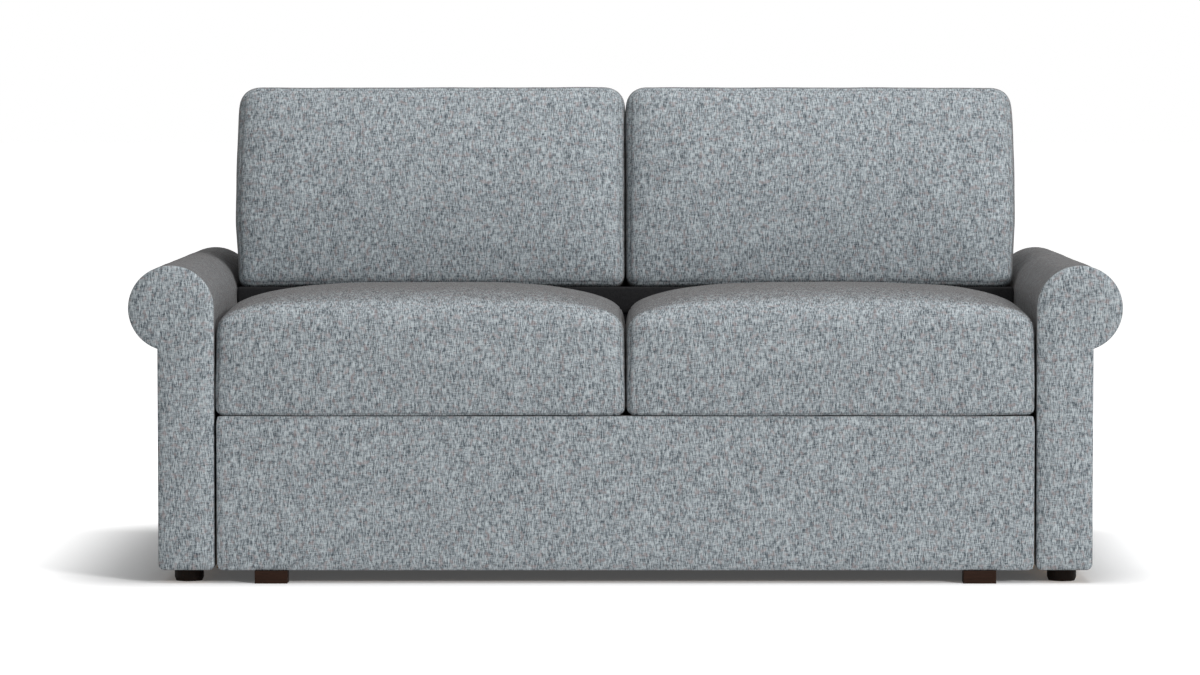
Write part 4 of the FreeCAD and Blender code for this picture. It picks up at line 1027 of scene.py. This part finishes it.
CUSHION_CELL = 0.010
SEAT_FOAM_HEIGHT = 0.192
SEAT_SIDE_HEIGHT = 0.178
SEAT_RISE = 0.0345
SEAT_CROWN = 0.0205
SEAT_WAIST = 0.030
SEAT_ROUND = (0.021, 0.010, 0.008)
FRONT_GAIN, REAR_GAIN = (0.005, 0.026, 0.020), (0.005, 0.018, 0.020)
LARGE_DENT, SMALL_DENT = (0.0016, 0.16), (0.0007, 0.06)


def full(t):
    """How full a cushion is across its width, from nought at its ends to one."""
    return np.sqrt(np.maximum(0, 1 - np.abs(t) ** 4))


def seat_mesh():
    """The right seat cushion before it swells, the size of its foam."""
    low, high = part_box("seat_cushion_right")
    size = np.array([high.x - low.x, high.y - low.y, SEAT_FOAM_HEIGHT])
    share, faces, sides = block_net([round(s / CUSHION_CELL) for s in size])
    place = share * size
    top = np.clip(share[:, 2] * 1.6 - 0.4, 0, 1)
    radii = SEAT_ROUND + np.where(share[:, 1:2] > 0.5, REAR_GAIN, FRONT_GAIN) * top[:, None]
    soft = rounded_off(place, size, radii)
    across = 2 * soft[:, 0] / size[0] - 1
    deep = 2 * soft[:, 1] / size[1] - 1
    fullness = full(across)
    height = SEAT_SIDE_HEIGHT + SEAT_RISE * fullness + SEAT_CROWN * fullness * (1 - deep ** 2)
    soft[:, 2] *= height / size[2]
    soft[:, 1] = size[1] / 2 + (soft[:, 1] - size[1] / 2) * (1 - SEAT_WAIST * (1 - fullness))
    seam = edge_reach(place, size, ("left", "right", "under"))
    mesh = cloth_mesh("seat_skin", soft + np.array(low), faces, block_weave(place, faces, sides), seam)
    held = (np.abs(seam) < 1e-6) | (share[:, 2] < 0.01)
    return mesh, held, share[:, 2] > 0.99


def mirrored(mesh):
    """The same cushion for the left side."""
    other = mesh.copy()
    other.vertices.foreach_set("co", (vectors(mesh, "co") * (-1, 1, 1)).ravel())
    other.flip_normals()
    other.update()
    return other


def uneven(mesh, seed):
    """Slight lasting dents of a cushion that is used."""
    places = vectors(mesh, "co")
    dents = np.zeros(len(places))
    for (depth, width), draw in ((LARGE_DENT, seed), (SMALL_DENT, seed + 3)):
        dents += [depth * unevenness(place, width, draw) for place in places]
    return moved_by(mesh, vectors(mesh, "normal") * dents[:, None])


def pair_placed(what, mesh, left_seed, right_seed, fill):
    """Finishes a right cushion, makes the left one from it, and places both, each with its own dents."""
    right = grooved(reshaped(mesh, "SUBSURF", levels=1, render_levels=1, boundary_smooth="PRESERVE_CORNERS"))
    left = uneven(mirrored(right), left_seed)
    for word, skin in (("right", uneven(right, right_seed)), ("left", left)):
        name = f"{what}_{word}"
        placed(f"{what}_soft_{word}", skin, linen, name, "upholstery", name, fill=fill)


seat, seat_held, seat_top = seat_mesh()
moved_by(seat, swollen(seat, seat_held))
pair_placed("seat_cushion", seat, 21.0, 11.0, 0.9)


# Back cushions. Two loose boxed cushions leaning back on the sofa's back. A front and a rear panel are sewn
# to a border that goes all round, with a concealed zip at the bottom.

BACK_HEIGHT = 0.409
BACK_THICKNESS = 0.213
BACK_CROWN, CROWN_REACH = 0.022, 0.08
BACK_END_SETBACK = 0.014
BACK_ROUND, UPPER_GAIN = (0.028, 0.024, 0.022), (0.012, 0.0, 0.014)
SIDE_SWELL = 0.007
BACK_SETBACK, BACK_LIFT = 0.008, 0.0015
CUSHION_Y, CUSHION_Z = 0.027, 0.5425


def back_cushion_mesh():
    """The right back cushion before it swells, built upright and leant back about its lower front edge."""
    low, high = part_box("back_cushion_right")
    size = np.array([high.x - low.x, BACK_THICKNESS, BACK_HEIGHT])
    share, faces, sides = block_net([round(s / CUSHION_CELL) for s in size])
    place = share * size
    upper = np.clip((share[:, 2] - 0.35) / 0.5, 0, 1)
    soft = rounded_off(place, size, BACK_ROUND + np.outer(upper, UPPER_GAIN))
    across = 2 * soft[:, 0] / size[0] - 1
    up = 2 * soft[:, 2] / size[2] - 1
    fullness = full(across)
    front = np.clip(1 - soft[:, 1] / CROWN_REACH, 0, 1)
    crown = BACK_END_SETBACK * (1 - fullness) - BACK_CROWN * fullness * (1 - up ** 2)
    soft[:, 1] += front * crown + BACK_SETBACK
    soft[:, 2] += BACK_LIFT
    above_arm = np.clip((share[:, 2] - 0.10) / 0.22, 0, 1)
    above_arm *= 1 - 0.7 * np.clip((share[:, 2] - 0.55) / 0.4, 0, 1)
    soft[:, 0] += SIDE_SWELL * above_arm * np.clip((across - 0.8) / 0.2, 0, 1)
    seam = edge_reach(place, size, ("front", "rear"))
    x, y, z = soft.T
    turned = np.stack([x + low.x, CUSHION_Y + y * math.cos(LEAN) + z * math.sin(LEAN),
                       CUSHION_Z - y * math.sin(LEAN) + z * math.cos(LEAN)], axis=1)
    mesh = cloth_mesh("back_cushion_skin", turned, faces, block_weave(place, faces, sides), seam)
    held = (np.abs(seam) < 1e-6) | (share[:, 1] > 0.99)
    return mesh, held


back, back_held = back_cushion_mesh()
moved_by(back, swollen(back, back_held))
pair_placed("back_cushion", back, 41.0, 31.0, 0.85)
